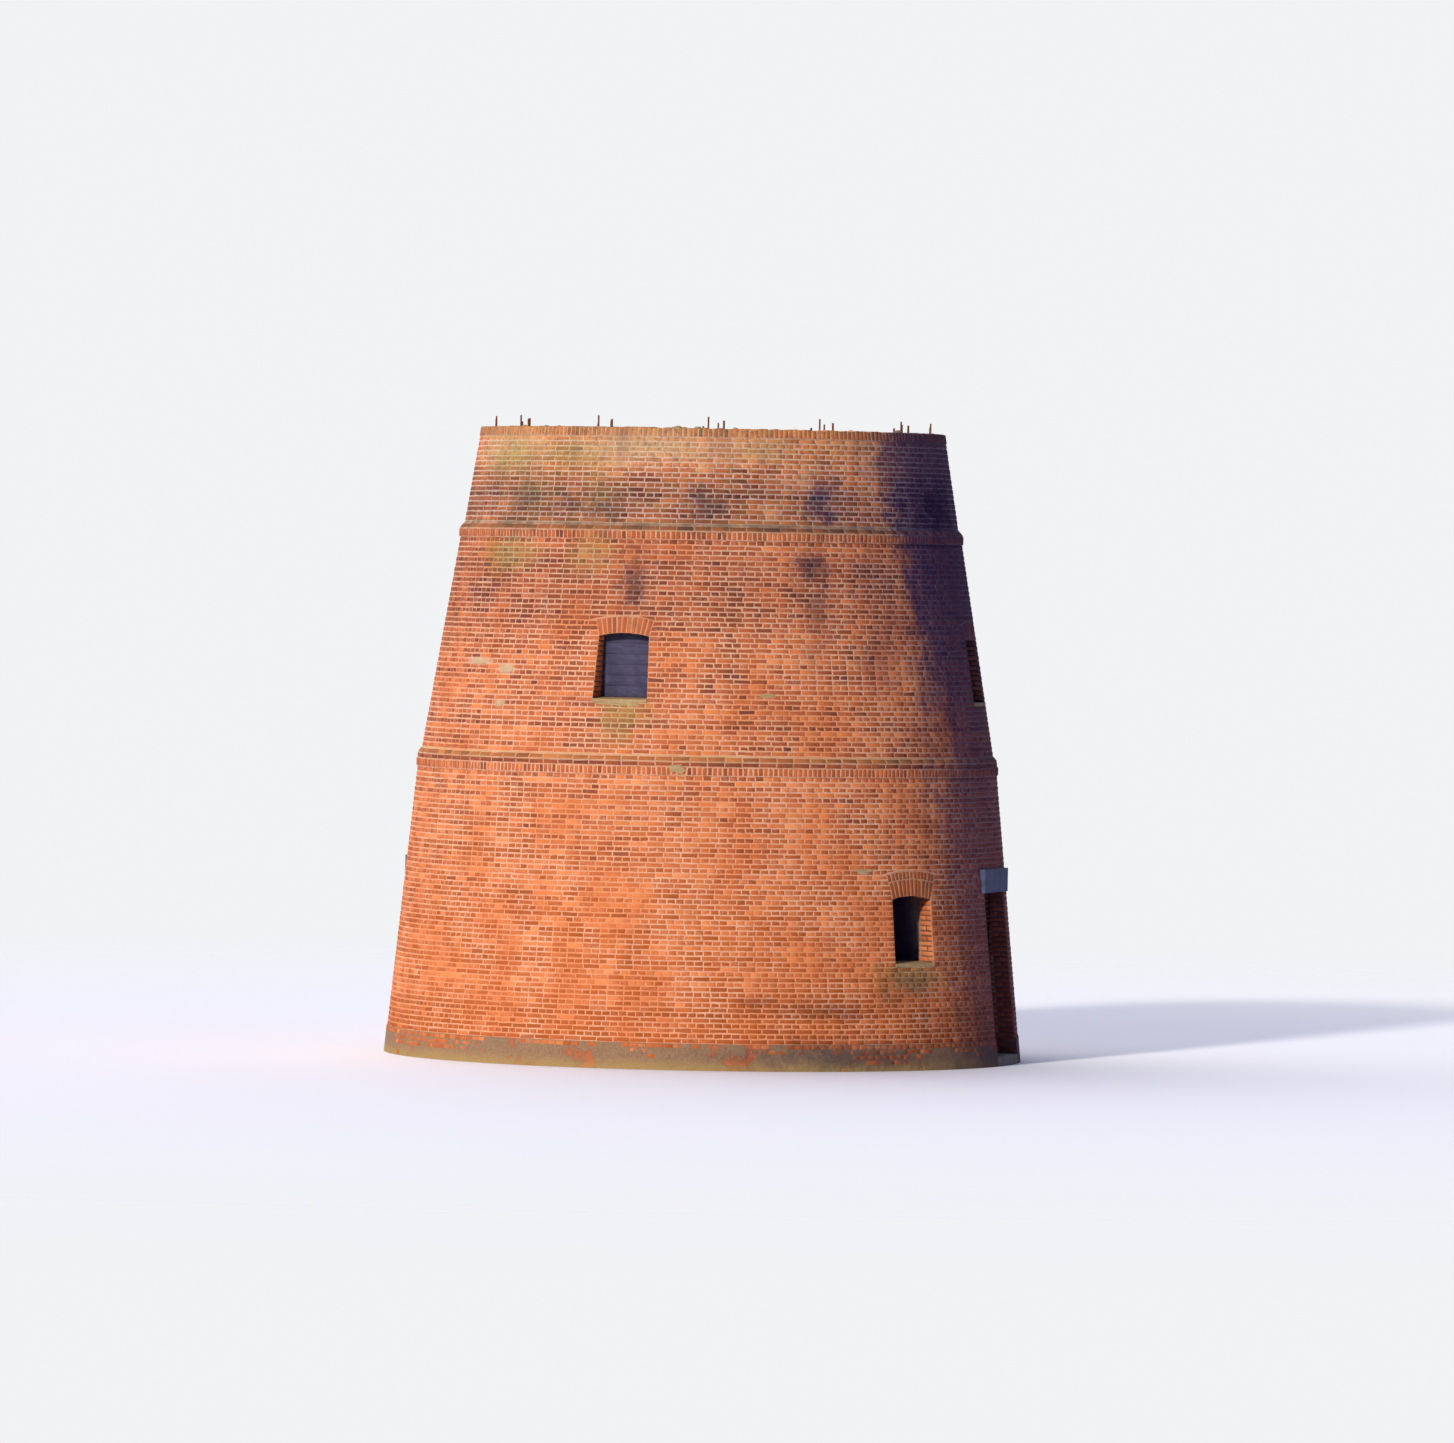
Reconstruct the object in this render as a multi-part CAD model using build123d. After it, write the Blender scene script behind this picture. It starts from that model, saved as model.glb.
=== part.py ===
"""Brick tower of a capless windmill: three battered storeys, hollow, standing on level ground.

Millimetres, +Z up, origin at the centre of the base on the ground.
A bearing is an angle seen from above: 0 faces -Y, 90 faces +X, 180 faces +Y.
"""
from build123d import *
from collections import namedtuple
from math import asin, cos, radians, sin, sqrt, tan
import os

# Brickwork
BRICK_WIDTH = 120
BRICK_HEIGHT = 65
BRICK_LENGTH = 250
BED_JOINT = 12
COURSE = BRICK_HEIGHT + BED_JOINT
ROWLOCK = BRICK_WIDTH + BED_JOINT
HALF_BRICK = BRICK_WIDTH + BED_JOINT
LOWER_THICKNESS = 7 * HALF_BRICK - BED_JOINT
MIDDLE_THICKNESS = 5 * HALF_BRICK - BED_JOINT
TOP_THICKNESS = 4 * HALF_BRICK - BED_JOINT

# Heights, each in whole courses above the one below
PLINTH_HEIGHT = 400
LOWER_COURSES = 52
MIDDLE_COURSES = 42
TOP_COURSES = 17
LOWER_WEATHERING = 95
UPPER_WEATHERING = 110

# Outer radii: the foot, and how far from upright each storey leans in
FOOT_RADIUS = 4900
PLINTH_PROJECTION = 15
LOWER_LEAN_ANGLE = 5.65
MIDDLE_LEAN_ANGLE = 9.39
TOP_LEAN_ANGLE = 9.09
STRING_PROJECTION = 18
LOWER_SETBACK = 65
UPPER_SETBACK = 65
RIM_PROJECTION = 8

# Openings, each facing the bearings listed, with one on each opposite side
DOOR_BEARINGS = (74, 254)
LOWER_WINDOW_BEARINGS = (42.4, 222.4)
UPPER_WINDOW_BEARINGS = (-18.4, 78, 161.6, 258)
REVEAL = 250
REBATE = 60
DOOR_WIDTH = 1200
DOOR_HEIGHT = 2490
THRESHOLD_HEIGHT = 150
LINTEL_HEIGHT = 360
LINTEL_SEAT = 100
LOWER_WINDOW_WIDTH = 800
LOWER_WINDOW_HEIGHT = 950
LOWER_SILL_COURSES = 16
UPPER_WINDOW_WIDTH = 800
UPPER_WINDOW_FOOT_WIDTH = 870
UPPER_WINDOW_HEIGHT = 924
UPPER_SILL_COURSES = 11
ARCH_RISE = 50
SILL_THICKNESS = 70
SILL_SLOPE = 25
SILL_PROJECTION = 8
PANEL_THICKNESS = 32
PANEL_CLEARANCE = 3

# Floors
GROUND_FLOOR_THICKNESS = 120
JOIST_WIDTH = 180
JOIST_HEIGHT = 220
JOIST_PITCH = 850
JOIST_END_CLEARANCE = 10
BOARD_THICKNESS = 32
BOARD_CLEARANCE = 8

# Anchor rods left standing in the wall head
ROD_PAIRS = 12
FIRST_PAIR_BEARING = 0.7
ROD_HALF_ANGLE = 2.0
ROD_INSET = 227
TALL_ROD_HEIGHT = 185
TALL_ROD_DIAMETER = 26
SHORT_ROD_HEIGHT = 130
SHORT_ROD_DIAMETER = 32
ROD_HOLE_CLEARANCE = 4

# Angles for sectors of the round wall
FULL_TURN = 360
QUARTER = FULL_TURN / 4
PIECE_HALF_ANGLE = 20
SAME_DIRECTION = 1e-6

# Levels worked out from the heights
LOWER_FOOT = PLINTH_HEIGHT
LOWER_TOP = LOWER_FOOT + LOWER_COURSES * COURSE
MIDDLE_FOOT = LOWER_TOP + ROWLOCK + COURSE + LOWER_WEATHERING
MIDDLE_TOP = MIDDLE_FOOT + MIDDLE_COURSES * COURSE
TOP_FOOT = MIDDLE_TOP + ROWLOCK + UPPER_WEATHERING
TOP_TOP = TOP_FOOT + TOP_COURSES * COURSE
RIM_TOP = TOP_TOP + ROWLOCK

# A storey's wall is a leaning shell of one thickness: lean is its angle from upright in degrees
Storey = namedtuple("Storey", "foot top foot_radius lean thickness")


def outer(storey, z):
    """Outer radius of a storey's wall at height z."""
    return storey.foot_radius - tan(radians(storey.lean)) * (z - storey.foot)


def inner(storey, z):
    """Inner radius of a storey's wall at height z."""
    return outer(storey, z) - storey.thickness


LOWER_FOOT_RADIUS = FOOT_RADIUS - tan(radians(LOWER_LEAN_ANGLE)) * LOWER_FOOT
LOWER = Storey(LOWER_FOOT, LOWER_TOP, LOWER_FOOT_RADIUS, LOWER_LEAN_ANGLE, LOWER_THICKNESS)
MIDDLE_FOOT_RADIUS = outer(LOWER, LOWER_TOP) - LOWER_SETBACK
MIDDLE = Storey(MIDDLE_FOOT, MIDDLE_TOP, MIDDLE_FOOT_RADIUS, MIDDLE_LEAN_ANGLE, MIDDLE_THICKNESS)
TOP_FOOT_RADIUS = outer(MIDDLE, MIDDLE_TOP) - UPPER_SETBACK
TOP = Storey(TOP_FOOT, TOP_TOP, TOP_FOOT_RADIUS, TOP_LEAN_ANGLE, TOP_THICKNESS)
RIM_RADIUS = outer(TOP, RIM_TOP) + RIM_PROJECTION
ROD_CIRCLE_RADIUS = RIM_RADIUS - ROD_INSET

# An opening's head is flat when rise is 0, and its jambs taper from foot_width at the sill to width
Opening = namedtuple("Opening", "storey bearing width foot_width sill spring rise")


def openings(storey, bearings, width, foot_width, sill, height, rise):
    """Like openings in a storey's wall, one at each bearing."""
    return [Opening(storey, bearing, width, foot_width, sill, sill + height, rise) for bearing in bearings]


LOWER_SILL = LOWER_FOOT + LOWER_SILL_COURSES * COURSE
UPPER_SILL = MIDDLE_FOOT + UPPER_SILL_COURSES * COURSE
DOORS = openings(LOWER, DOOR_BEARINGS, DOOR_WIDTH, DOOR_WIDTH, THRESHOLD_HEIGHT, DOOR_HEIGHT, 0)
LOWER_WINDOWS = openings(
    LOWER,
    LOWER_WINDOW_BEARINGS,
    LOWER_WINDOW_WIDTH,
    LOWER_WINDOW_WIDTH,
    LOWER_SILL,
    LOWER_WINDOW_HEIGHT,
    ARCH_RISE,
)
UPPER_WINDOWS = openings(
    MIDDLE,
    UPPER_WINDOW_BEARINGS,
    UPPER_WINDOW_WIDTH,
    UPPER_WINDOW_FOOT_WIDTH,
    UPPER_SILL,
    UPPER_WINDOW_HEIGHT,
    ARCH_RISE,
)
ARCH_HEIGHT = {LOWER: BRICK_LENGTH + HALF_BRICK, MIDDLE: BRICK_LENGTH}
PAST_FACE = 300
EVERYTHING = 20000


# Directions, planes and rings


def outward(bearing):
    """Unit vector that points out of the tower at a bearing."""
    return Vector(sin(radians(bearing)), -cos(radians(bearing)), 0)


def sideways(bearing):
    """Unit vector to the right of someone who looks at the tower from that bearing."""
    return Vector(cos(radians(bearing)), sin(radians(bearing)), 0)


def upright_plane(bearing, distance):
    """Vertical plane square to a bearing: X runs to the right, Y up, and its normal points out."""
    return Plane(origin=outward(bearing) * distance, x_dir=sideways(bearing), z_dir=outward(bearing))


def turned(profile, start=0, end=FULL_TURN):
    """Turn a half section, given as (radius, height) points, from one bearing to another."""
    face = make_face(Polyline([(r, z) for r, z in profile], close=True))
    placed = Plane(origin=(0, 0, 0), x_dir=outward(start), z_dir=-sideways(start)) * face
    return revolve(placed, Axis.Z, revolution_arc=end - start)


def wall_profile(storey, low, high):
    """Half section of a storey's wall between two heights."""
    return [
        (inner(storey, low), low),
        (outer(storey, low), low),
        (outer(storey, high), high),
        (inner(storey, high), high),
    ]


# Shapes cut or laid at an opening


def block(opening, width, low, high, near=0, far=EVERYTHING / 2):
    """Upright block across a wall at an opening, between two distances from the tower's axis."""
    outline = Location((0, (low + high) / 2)) * Rectangle(width, high - low)
    return extrude(upright_plane(opening.bearing, near) * outline, far - near)


def rebate_distance(opening):
    """Distance from the tower's axis to the plane where the wide inner part of an opening starts."""
    head = opening.spring + opening.rise
    return outer(opening.storey, head) - REVEAL


def arch_radius(width, rise):
    """Radius of the circle through both springings and the crown."""
    return (width ** 2 / 4 + rise ** 2) / (2 * rise)


def opening_outline(opening, margin=0):
    """Outline of an opening seen from outside, grown by a margin at its jambs and its head."""
    half = opening.width / 2 + margin
    half_foot = opening.foot_width / 2 + margin
    spring = opening.spring + margin
    corners = [(-half, spring), (-half_foot, opening.sill), (half_foot, opening.sill), (half, spring)]
    if opening.rise == 0:
        head = Line(corners[-1], corners[0])
    else:
        head = ThreePointArc(corners[-1], (0, spring + opening.rise), corners[0])
    return make_face(Polyline(corners) + head)


def void(opening):
    """The air in an opening: a narrow reveal outside, and a wider part behind the rebate."""
    edge = rebate_distance(opening)
    reach = outer(opening.storey, 0) + PAST_FACE - edge
    front = extrude(upright_plane(opening.bearing, edge) * opening_outline(opening), reach)
    back = extrude(upright_plane(opening.bearing, 0) * opening_outline(opening, REBATE), edge)
    return front + back


def arch_outline(opening, height, margin=0):
    """Ring of an arch seen from outside, round an opening grown by a margin, with ends square to it."""
    width = opening.width + 2 * margin
    spring = opening.spring + margin
    crown = spring + opening.rise
    radius = arch_radius(width, opening.rise)
    half_angle = asin(width / 2 / radius)
    top_x = (radius + height) * sin(half_angle)
    top_z = crown - radius + (radius + height) * cos(half_angle)
    soffit = ThreePointArc((-width / 2, spring), (0, crown), (width / 2, spring))
    right = Line((width / 2, spring), (top_x, top_z))
    back = ThreePointArc((top_x, top_z), (0, crown + height), (-top_x, top_z))
    left = Line((-top_x, top_z), (-width / 2, spring))
    return make_face(soffit + right + back + left)


def around(profile, opening):
    """A half section turned a little way to either side of an opening."""
    return turned(profile, opening.bearing - PIECE_HALF_ANGLE, opening.bearing + PIECE_HALF_ANGLE)


def wall_piece_at(opening):
    """The part of a storey's wall near an opening, as the mould for what is laid there."""
    storey = opening.storey
    return around(wall_profile(storey, storey.foot, storey.top), opening)


def front_arch(opening):
    """Arch over the outer reveal, whose face follows the leaning round wall."""
    ring = arch_outline(opening, ARCH_HEIGHT[opening.storey])
    plane = upright_plane(opening.bearing, rebate_distance(opening))
    return extrude(plane * ring, REVEAL + PAST_FACE) & wall_piece_at(opening)


def rear_arch(opening):
    """Arch over the wide inner part, one brick high, behind the front arch."""
    ring = arch_outline(opening, BRICK_LENGTH, REBATE)
    plane = upright_plane(opening.bearing, 0)
    return extrude(plane * ring, rebate_distance(opening)) & wall_piece_at(opening)


def sill(opening):
    """Sill laid in mortar between the jambs, sloping out to a nose just proud of the wall."""
    face = outer(opening.storey, opening.sill) + SILL_PROJECTION
    back = rebate_distance(opening)
    low = opening.sill - SILL_THICKNESS
    nose = opening.sill - SILL_SLOPE
    section = Polyline([(back, low), (face, low), (face, nose), (back, opening.sill)], close=True)
    plane = Plane(
        origin=sideways(opening.bearing) * (-opening.foot_width / 2),
        x_dir=outward(opening.bearing),
        z_dir=-sideways(opening.bearing),
    )
    return extrude(plane * make_face(section), -opening.foot_width)


def apron(opening):
    """Masonry under a window, with room for the sill on top of it."""
    back = rebate_distance(opening)
    piece = block(opening, opening.foot_width, opening.storey.foot, opening.sill)
    pocket = block(opening, opening.foot_width, opening.sill - SILL_THICKNESS, opening.sill, back)
    return (piece & wall_piece_at(opening)) - pocket


def masonry_head(opening):
    """Masonry over an opening, as wide as its head, with room for the arches or the lintel."""
    piece = block(opening, opening.width, opening.spring, opening.storey.top)
    return less(piece & wall_piece_at(opening), [void(opening), *laid_over(opening)])


def lintel(opening):
    """Straight lintel with a deeper, wider part behind the rebate."""
    edge = rebate_distance(opening)
    face = outer(opening.storey, opening.spring)
    low = opening.spring
    high = low + LINTEL_HEIGHT
    front = block(opening, opening.width + 2 * LINTEL_SEAT, low, high, edge, face)
    rear = block(opening, opening.width + 2 * REBATE + 2 * LINTEL_SEAT, low + REBATE, high, 0, edge)
    return front + (rear & wall_piece_at(opening))


def laid_over(opening):
    """What carries the masonry over an opening: a lintel, or a front arch and a rear arch."""
    if opening.rise == 0:
        return [lintel(opening)]
    return [front_arch(opening), rear_arch(opening)]


def room_for(opening):
    """Everything that a sector of plain wall leaves out at an opening."""
    storey = opening.storey
    under = block(opening, opening.foot_width, 0, opening.sill)
    over = block(opening, opening.width, opening.spring, storey.top)
    return [under, over, void(opening), *laid_over(opening)]


def threshold(opening):
    """Stone step laid through the foot of the wall, as wide as the doorway."""
    slab = block(opening, opening.width, 0, THRESHOLD_HEIGHT)
    return slab & around(plinth_profile(), opening)


def panel(opening):
    """Board panel that closes a window, standing against the back of the outer reveal."""
    back = rebate_distance(opening) - PANEL_THICKNESS
    outline = opening_outline(opening, REBATE - PANEL_CLEARANCE)
    return extrude(upright_plane(opening.bearing, back) * outline, PANEL_THICKNESS)


# Rings of the tower


def plinth_profile():
    """Half section of the rendered foot of the wall."""
    return [
        (inner(LOWER, 0), 0),
        (outer(LOWER, 0) + PLINTH_PROJECTION, 0),
        (outer(LOWER, PLINTH_HEIGHT) + PLINTH_PROJECTION, PLINTH_HEIGHT),
        (inner(LOWER, PLINTH_HEIGHT), PLINTH_HEIGHT),
    ]


def lower_string_profile():
    """Bricks on edge, a flat course and a long weathered slope up to the middle storey."""
    face = outer(LOWER, LOWER_TOP)
    rowlock_top = LOWER_TOP + ROWLOCK
    flat_top = rowlock_top + COURSE
    inside = inner(MIDDLE, MIDDLE_FOOT)
    return [
        (inside, LOWER_TOP),
        (face + STRING_PROJECTION, LOWER_TOP),
        (face + STRING_PROJECTION, rowlock_top),
        (face, rowlock_top),
        (face, flat_top),
        (outer(MIDDLE, MIDDLE_FOOT), MIDDLE_FOOT),
        (inside, MIDDLE_FOOT),
    ]


def upper_string_profile():
    """Bricks on edge under a weathered slope up to the top storey."""
    face = outer(MIDDLE, MIDDLE_TOP)
    rowlock_top = MIDDLE_TOP + ROWLOCK
    inside = inner(MIDDLE, MIDDLE_TOP)
    return [
        (inside, MIDDLE_TOP),
        (face + STRING_PROJECTION, MIDDLE_TOP),
        (face + STRING_PROJECTION, rowlock_top),
        (outer(TOP, TOP_FOOT), TOP_FOOT),
        (inside, TOP_FOOT),
    ]


def rim_profile():
    """Course of bricks on edge that ends the wall at its head."""
    return [
        (inner(TOP, TOP_TOP), TOP_TOP),
        (outer(TOP, TOP_TOP) + RIM_PROJECTION, TOP_TOP),
        (RIM_RADIUS, RIM_TOP),
        (inner(TOP, RIM_TOP), RIM_TOP),
    ]


# Writing


def save(name, *shapes):
    """Write one named sub-part, made of one or more solids."""
    solids = [solid for shape in shapes for solid in shape.solids()]
    export_step(solids[0] if len(solids) == 1 else Compound(solids), f"parts/{name}.step")


def less(shape, tools):
    """A shape with tools cut away."""
    for tool in tools:
        shape = shape - tool
    return shape


def same_bearing(first, second):
    """Whether two bearings point the same way, however many turns lie between them."""
    return abs(sin(radians(first - second) / 2)) < SAME_DIRECTION


def ending_at(openings, start, end):
    """The openings that stand at either end of a stretch of wall."""
    return [
        opening
        for opening in openings
        if same_bearing(opening.bearing, start) or same_bearing(opening.bearing, end)
    ]


def save_sectors(name, sides, breaks, storey, openings):
    """A storey's wall in sectors between bearings, each cut back from the openings at its ends."""
    profile = wall_profile(storey, storey.foot, storey.top)
    for side, start, end in zip(sides, breaks, breaks[1:]):
        sector = turned(profile, start, end)
        for opening in ending_at(openings, start, end):
            sector = less(sector, room_for(opening))
        save(f"{name}_{side}", sector)


# Sub-parts of the lower storey


def make_plinth():
    """Rendered foot of the wall, in two halves between the doorways."""
    first, second = DOOR_BEARINGS
    gaps = [gap for door in DOORS for gap in (block(door, door.width, 0, door.sill), void(door))]
    save("plinth_back", less(turned(plinth_profile(), first, second), gaps))
    save("plinth_front", less(turned(plinth_profile(), second, first + FULL_TURN), gaps))


def make_lower_wall():
    """Storey wall in sectors and piers, and the masonry under and over its openings."""
    window, door = LOWER_WINDOW_BEARINGS[0], DOOR_BEARINGS[0]
    half_turn = FULL_TURN / 2
    plain = (window + half_turn - door) / 3
    sides = ["window_pier_right", "right", "back_right", "back"]
    sides += ["window_pier_left", "left", "front_left", "front"]
    breaks = [window, door, door + plain, door + 2 * plain]
    breaks += [bearing + half_turn for bearing in breaks] + [window + FULL_TURN]
    save_sectors("lower_wall", sides, breaks, LOWER, DOORS + LOWER_WINDOWS)
    save("lower_window_aprons", *[apron(window) for window in LOWER_WINDOWS])
    save("lower_window_heads", *[masonry_head(window) for window in LOWER_WINDOWS])
    save("doorway_heads", *[masonry_head(door) for door in DOORS])


def make_lower_trim():
    """Arches, sills, lintels and thresholds of the lower storey."""
    save("lower_window_arches", *[front_arch(window) for window in LOWER_WINDOWS])
    save("lower_window_rear_arches", *[rear_arch(window) for window in LOWER_WINDOWS])
    save("lower_window_sills", *[sill(window) for window in LOWER_WINDOWS])
    save("door_lintels", *[lintel(door) for door in DOORS])
    save("door_thresholds", *[threshold(door) for door in DOORS])


def quarter_start(index):
    """Bearing where a quarter of the tower starts: 0 is the front one, and 1 is at the right."""
    return (index - 0.5) * QUARTER


def make_ring(name, profile, holes=()):
    """A whole ring in four quarters, as the two that face front and back and the two at the sides."""
    starts = [quarter_start(index) for index in range(4)]
    quarters = [less(turned(profile, start, start + QUARTER), holes) for start in starts]
    save(f"{name}_front_and_back", quarters[0], quarters[2])
    save(f"{name}_sides", quarters[1], quarters[3])


# Sub-parts of the middle storey


def make_middle_wall():
    """Storey wall in four sectors between the windows, and the masonry under and over them."""
    sides = ["front_right", "back_right", "back_left", "front_left"]
    breaks = [*UPPER_WINDOW_BEARINGS, UPPER_WINDOW_BEARINGS[0] + FULL_TURN]
    save_sectors("middle_wall", sides, breaks, MIDDLE, UPPER_WINDOWS)
    save("upper_window_aprons", *[apron(window) for window in UPPER_WINDOWS])
    save("upper_window_heads", *[masonry_head(window) for window in UPPER_WINDOWS])


def make_middle_trim():
    """Arches, sills and board panels of the middle storey."""
    save("upper_window_arches", *[front_arch(window) for window in UPPER_WINDOWS])
    save("upper_window_rear_arches", *[rear_arch(window) for window in UPPER_WINDOWS])
    save("upper_window_sills", *[sill(window) for window in UPPER_WINDOWS])
    save("upper_window_panels", *[panel(window) for window in UPPER_WINDOWS])


# Floors


def make_ground_floor():
    """Paved floor inside the foot of the wall."""
    top = GROUND_FLOOR_THICKNESS
    save("ground_floor", turned([(0, 0), (inner(LOWER, 0), 0), (inner(LOWER, top), top), (0, top)]))


def make_first_floor():
    """Joists that bear on the ledge where the wall gets thinner, and the boards on them."""
    bearing_radius = inner(MIDDLE, MIDDLE_FOOT)
    count = int((bearing_radius - JOIST_WIDTH) / JOIST_PITCH)
    joists = []
    for index in range(-count, count + 1):
        offset = index * JOIST_PITCH
        far_side = abs(offset) + JOIST_WIDTH / 2
        length = 2 * (sqrt(bearing_radius ** 2 - far_side ** 2) - JOIST_END_CLEARANCE)
        centre = (0, offset, LOWER_TOP + JOIST_HEIGHT / 2)
        joists.append(Location(centre) * Box(length, JOIST_WIDTH, JOIST_HEIGHT))
    save("floor_joists", *joists)
    boards = Cylinder(bearing_radius - BOARD_CLEARANCE, BOARD_THICKNESS)
    save("floor_boards", Location((0, 0, LOWER_TOP + JOIST_HEIGHT + BOARD_THICKNESS / 2)) * boards)


# Sub-parts of the top storey


def rod_places():
    """Where each rod stands, with its diameter and its height above the rim: left tall, right short."""
    for index in range(ROD_PAIRS):
        middle = FIRST_PAIR_BEARING + index * FULL_TURN / ROD_PAIRS
        left = outward(middle - ROD_HALF_ANGLE) * ROD_CIRCLE_RADIUS
        right = outward(middle + ROD_HALF_ANGLE) * ROD_CIRCLE_RADIUS
        yield left, TALL_ROD_DIAMETER, TALL_ROD_HEIGHT
        yield right, SHORT_ROD_DIAMETER, SHORT_ROD_HEIGHT


def upright_round(place, diameter, top):
    """Round bar or hole from the foot of the rim course to a level."""
    middle = (place.X, place.Y, (TOP_TOP + top) / 2)
    return Location(middle) * Cylinder(diameter / 2, top - TOP_TOP)


def make_top():
    """Top storey in four sectors, and its rim course with the rods that stand in it."""
    profile = wall_profile(TOP, TOP_FOOT, TOP_TOP)
    for index, side in enumerate(("front", "right", "back", "left")):
        start = quarter_start(index)
        save(f"top_wall_{side}", turned(profile, start, start + QUARTER))
    rods = [upright_round(place, size, RIM_TOP + height) for place, size, height in rod_places()]
    save("anchor_rods", *rods)
    hole = 2 * ROD_HOLE_CLEARANCE
    holes = [upright_round(place, size + hole, RIM_TOP) for place, size, _ in rod_places()]
    make_ring("rim_course", rim_profile(), holes)


def main():
    """Write every sub-part."""
    os.makedirs("parts", exist_ok=True)
    make_ground_floor()
    make_plinth()
    make_lower_wall()
    make_lower_trim()
    make_ring("lower_string_course", lower_string_profile())
    make_first_floor()
    make_middle_wall()
    make_middle_trim()
    make_ring("upper_string_course", upper_string_profile())
    make_top()


main()
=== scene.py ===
"""Brick tower of a windmill without its cap: bonded brickwork, weathering, boards and iron.

Metres, +Z up. A bearing is an angle seen from above: 0 faces -Y, 90 faces +X.
"""
from collections import namedtuple
from functools import reduce
from math import asin, atan, ceil, cos, degrees, floor, pi, radians, sin, sqrt

import bmesh
import bpy
import numpy as np
from bpy.props import FloatProperty, FloatVectorProperty, IntProperty, PointerProperty
from mathutils import Matrix, Vector


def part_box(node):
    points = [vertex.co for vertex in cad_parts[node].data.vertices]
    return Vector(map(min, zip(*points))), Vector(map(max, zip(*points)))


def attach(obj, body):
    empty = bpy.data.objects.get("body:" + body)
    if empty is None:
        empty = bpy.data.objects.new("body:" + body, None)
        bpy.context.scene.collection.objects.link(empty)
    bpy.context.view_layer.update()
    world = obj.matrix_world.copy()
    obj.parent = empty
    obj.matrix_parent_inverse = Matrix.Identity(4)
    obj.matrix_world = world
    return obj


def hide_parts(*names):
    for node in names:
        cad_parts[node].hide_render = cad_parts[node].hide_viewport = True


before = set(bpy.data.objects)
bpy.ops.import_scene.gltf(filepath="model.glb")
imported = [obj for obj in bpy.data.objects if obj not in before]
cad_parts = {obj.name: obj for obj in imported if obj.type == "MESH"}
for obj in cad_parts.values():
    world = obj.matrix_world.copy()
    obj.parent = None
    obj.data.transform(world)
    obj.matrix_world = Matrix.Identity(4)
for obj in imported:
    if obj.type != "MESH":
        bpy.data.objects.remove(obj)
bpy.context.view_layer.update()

bl_info = {
    "name": "Windmill tower brickwork",
    "version": (1, 0, 0),
    "blender": (4, 5, 0),
    "location": "View3D > Sidebar > Mill",
    "description": "Lays the bricks of a round mill tower and finishes its boards, iron and stone",
    "category": "Object",
}

# Openings, facing these bearings in degrees
DOOR_BEARINGS = (74, 254)
LOWER_WINDOW_BEARINGS = (42.4, 222.4)
UPPER_WINDOW_BEARINGS = (-18.4, 78, 161.6, 258)
FULL_TURN = 2 * pi


# Levels and radii, read from the frame

# A round wall face from foot to top; side is 1 for the outer face and -1 for the inner one
Face = namedtuple("Face", "foot top foot_radius top_radius side")


def wall_faces(node):
    """Outer and inner face of the storey that a node is part of."""
    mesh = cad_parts[node].data
    points = np.zeros(len(mesh.vertices) * 3)
    mesh.vertices.foreach_get("co", points)
    points = points.reshape(-1, 3)
    radius = np.hypot(points[:, 0], points[:, 1])
    height = points[:, 2]
    low, high = float(height.min()), float(height.max())
    at_foot = radius[height < low + LEVEL_MARGIN]
    at_top = radius[height > high - LEVEL_MARGIN]
    outer = Face(low, high, float(at_foot.max()), float(at_top.max()), 1)
    inner = Face(low, high, float(at_foot.min()), float(at_top.min()), -1)
    return outer, inner


LEVEL_MARGIN = 0.001
LOWER_OUT, LOWER_IN = wall_faces("lower_wall_front")
MIDDLE_OUT, MIDDLE_IN = wall_faces("middle_wall_front_right")
TOP_OUT, TOP_IN = wall_faces("top_wall_front")
RIM_OUT, RIM_IN = wall_faces("rim_course_sides")
PLINTH_OUT = wall_faces("plinth_front")[0]
RIM_TOP = RIM_OUT.top
LOWER_STRING_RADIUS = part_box("lower_string_course_sides")[1].x
UPPER_STRING_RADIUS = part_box("upper_string_course_sides")[1].x
FLOOR_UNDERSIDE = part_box("floor_boards")[0].z
FLOOR_RADIUS, _, FLOOR_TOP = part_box("floor_boards")[1]
PAVING_RADIUS, _, PAVING_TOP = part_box("ground_floor")[1]


# Sizes and colours that a user would change


def length(label, default, about):
    """A size in metres."""
    return FloatProperty(name=label, description=about, default=default, min=0.0, unit="LENGTH")


def colour(label, default, about):
    """A colour in linear values."""
    return FloatVectorProperty(
        name=label, description=about, default=default, size=3, min=0.0, max=1.0, subtype="COLOR"
    )


class MillBrickSizes(bpy.types.PropertyGroup):
    """Brick sizes and how worn the bricks are."""

    brick_length: length("Length", 0.25, "Length of a stretcher's face")
    brick_width: length("Width", 0.12, "Width of a header's face")
    brick_height: length("Height", 0.065, "Height of a brick laid flat")
    joint: length("Joint", 0.012, "Width of a mortar joint")
    proud: length("Stand proud", 0.005, "How far a brick stands out of its mortar")
    arris: length("Worn arris", 0.009, "Width of a brick's worn edge")
    unevenness: length("Unevenness", 0.0024, "How far a brick's corners stray")
    seed: IntProperty(name="Seed", description="Number that the brick pattern grows from", default=7)


class MillOpeningSizes(bpy.types.PropertyGroup):
    """Widths at the doorways and windows, and how they step."""

    door_width: length("Doorway", 1.2, "Width between the outer jambs of a doorway")
    window_width: length("Window head", 0.8, "Width of a window at its springing")
    upper_foot_width: length("Upper window sill", 0.87, "Width of an upper window at its sill")
    rebate: length("Rebate", 0.06, "How far the opening widens behind its reveal")
    reveal: length("Reveal", 0.25, "Depth of the outer reveal at an opening's head")
    rise: length("Arch rise", 0.05, "Height of a window's crown over its springing")
    lintel_seat: length("Lintel seat", 0.1, "How far a lintel reaches past each jamb")


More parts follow.
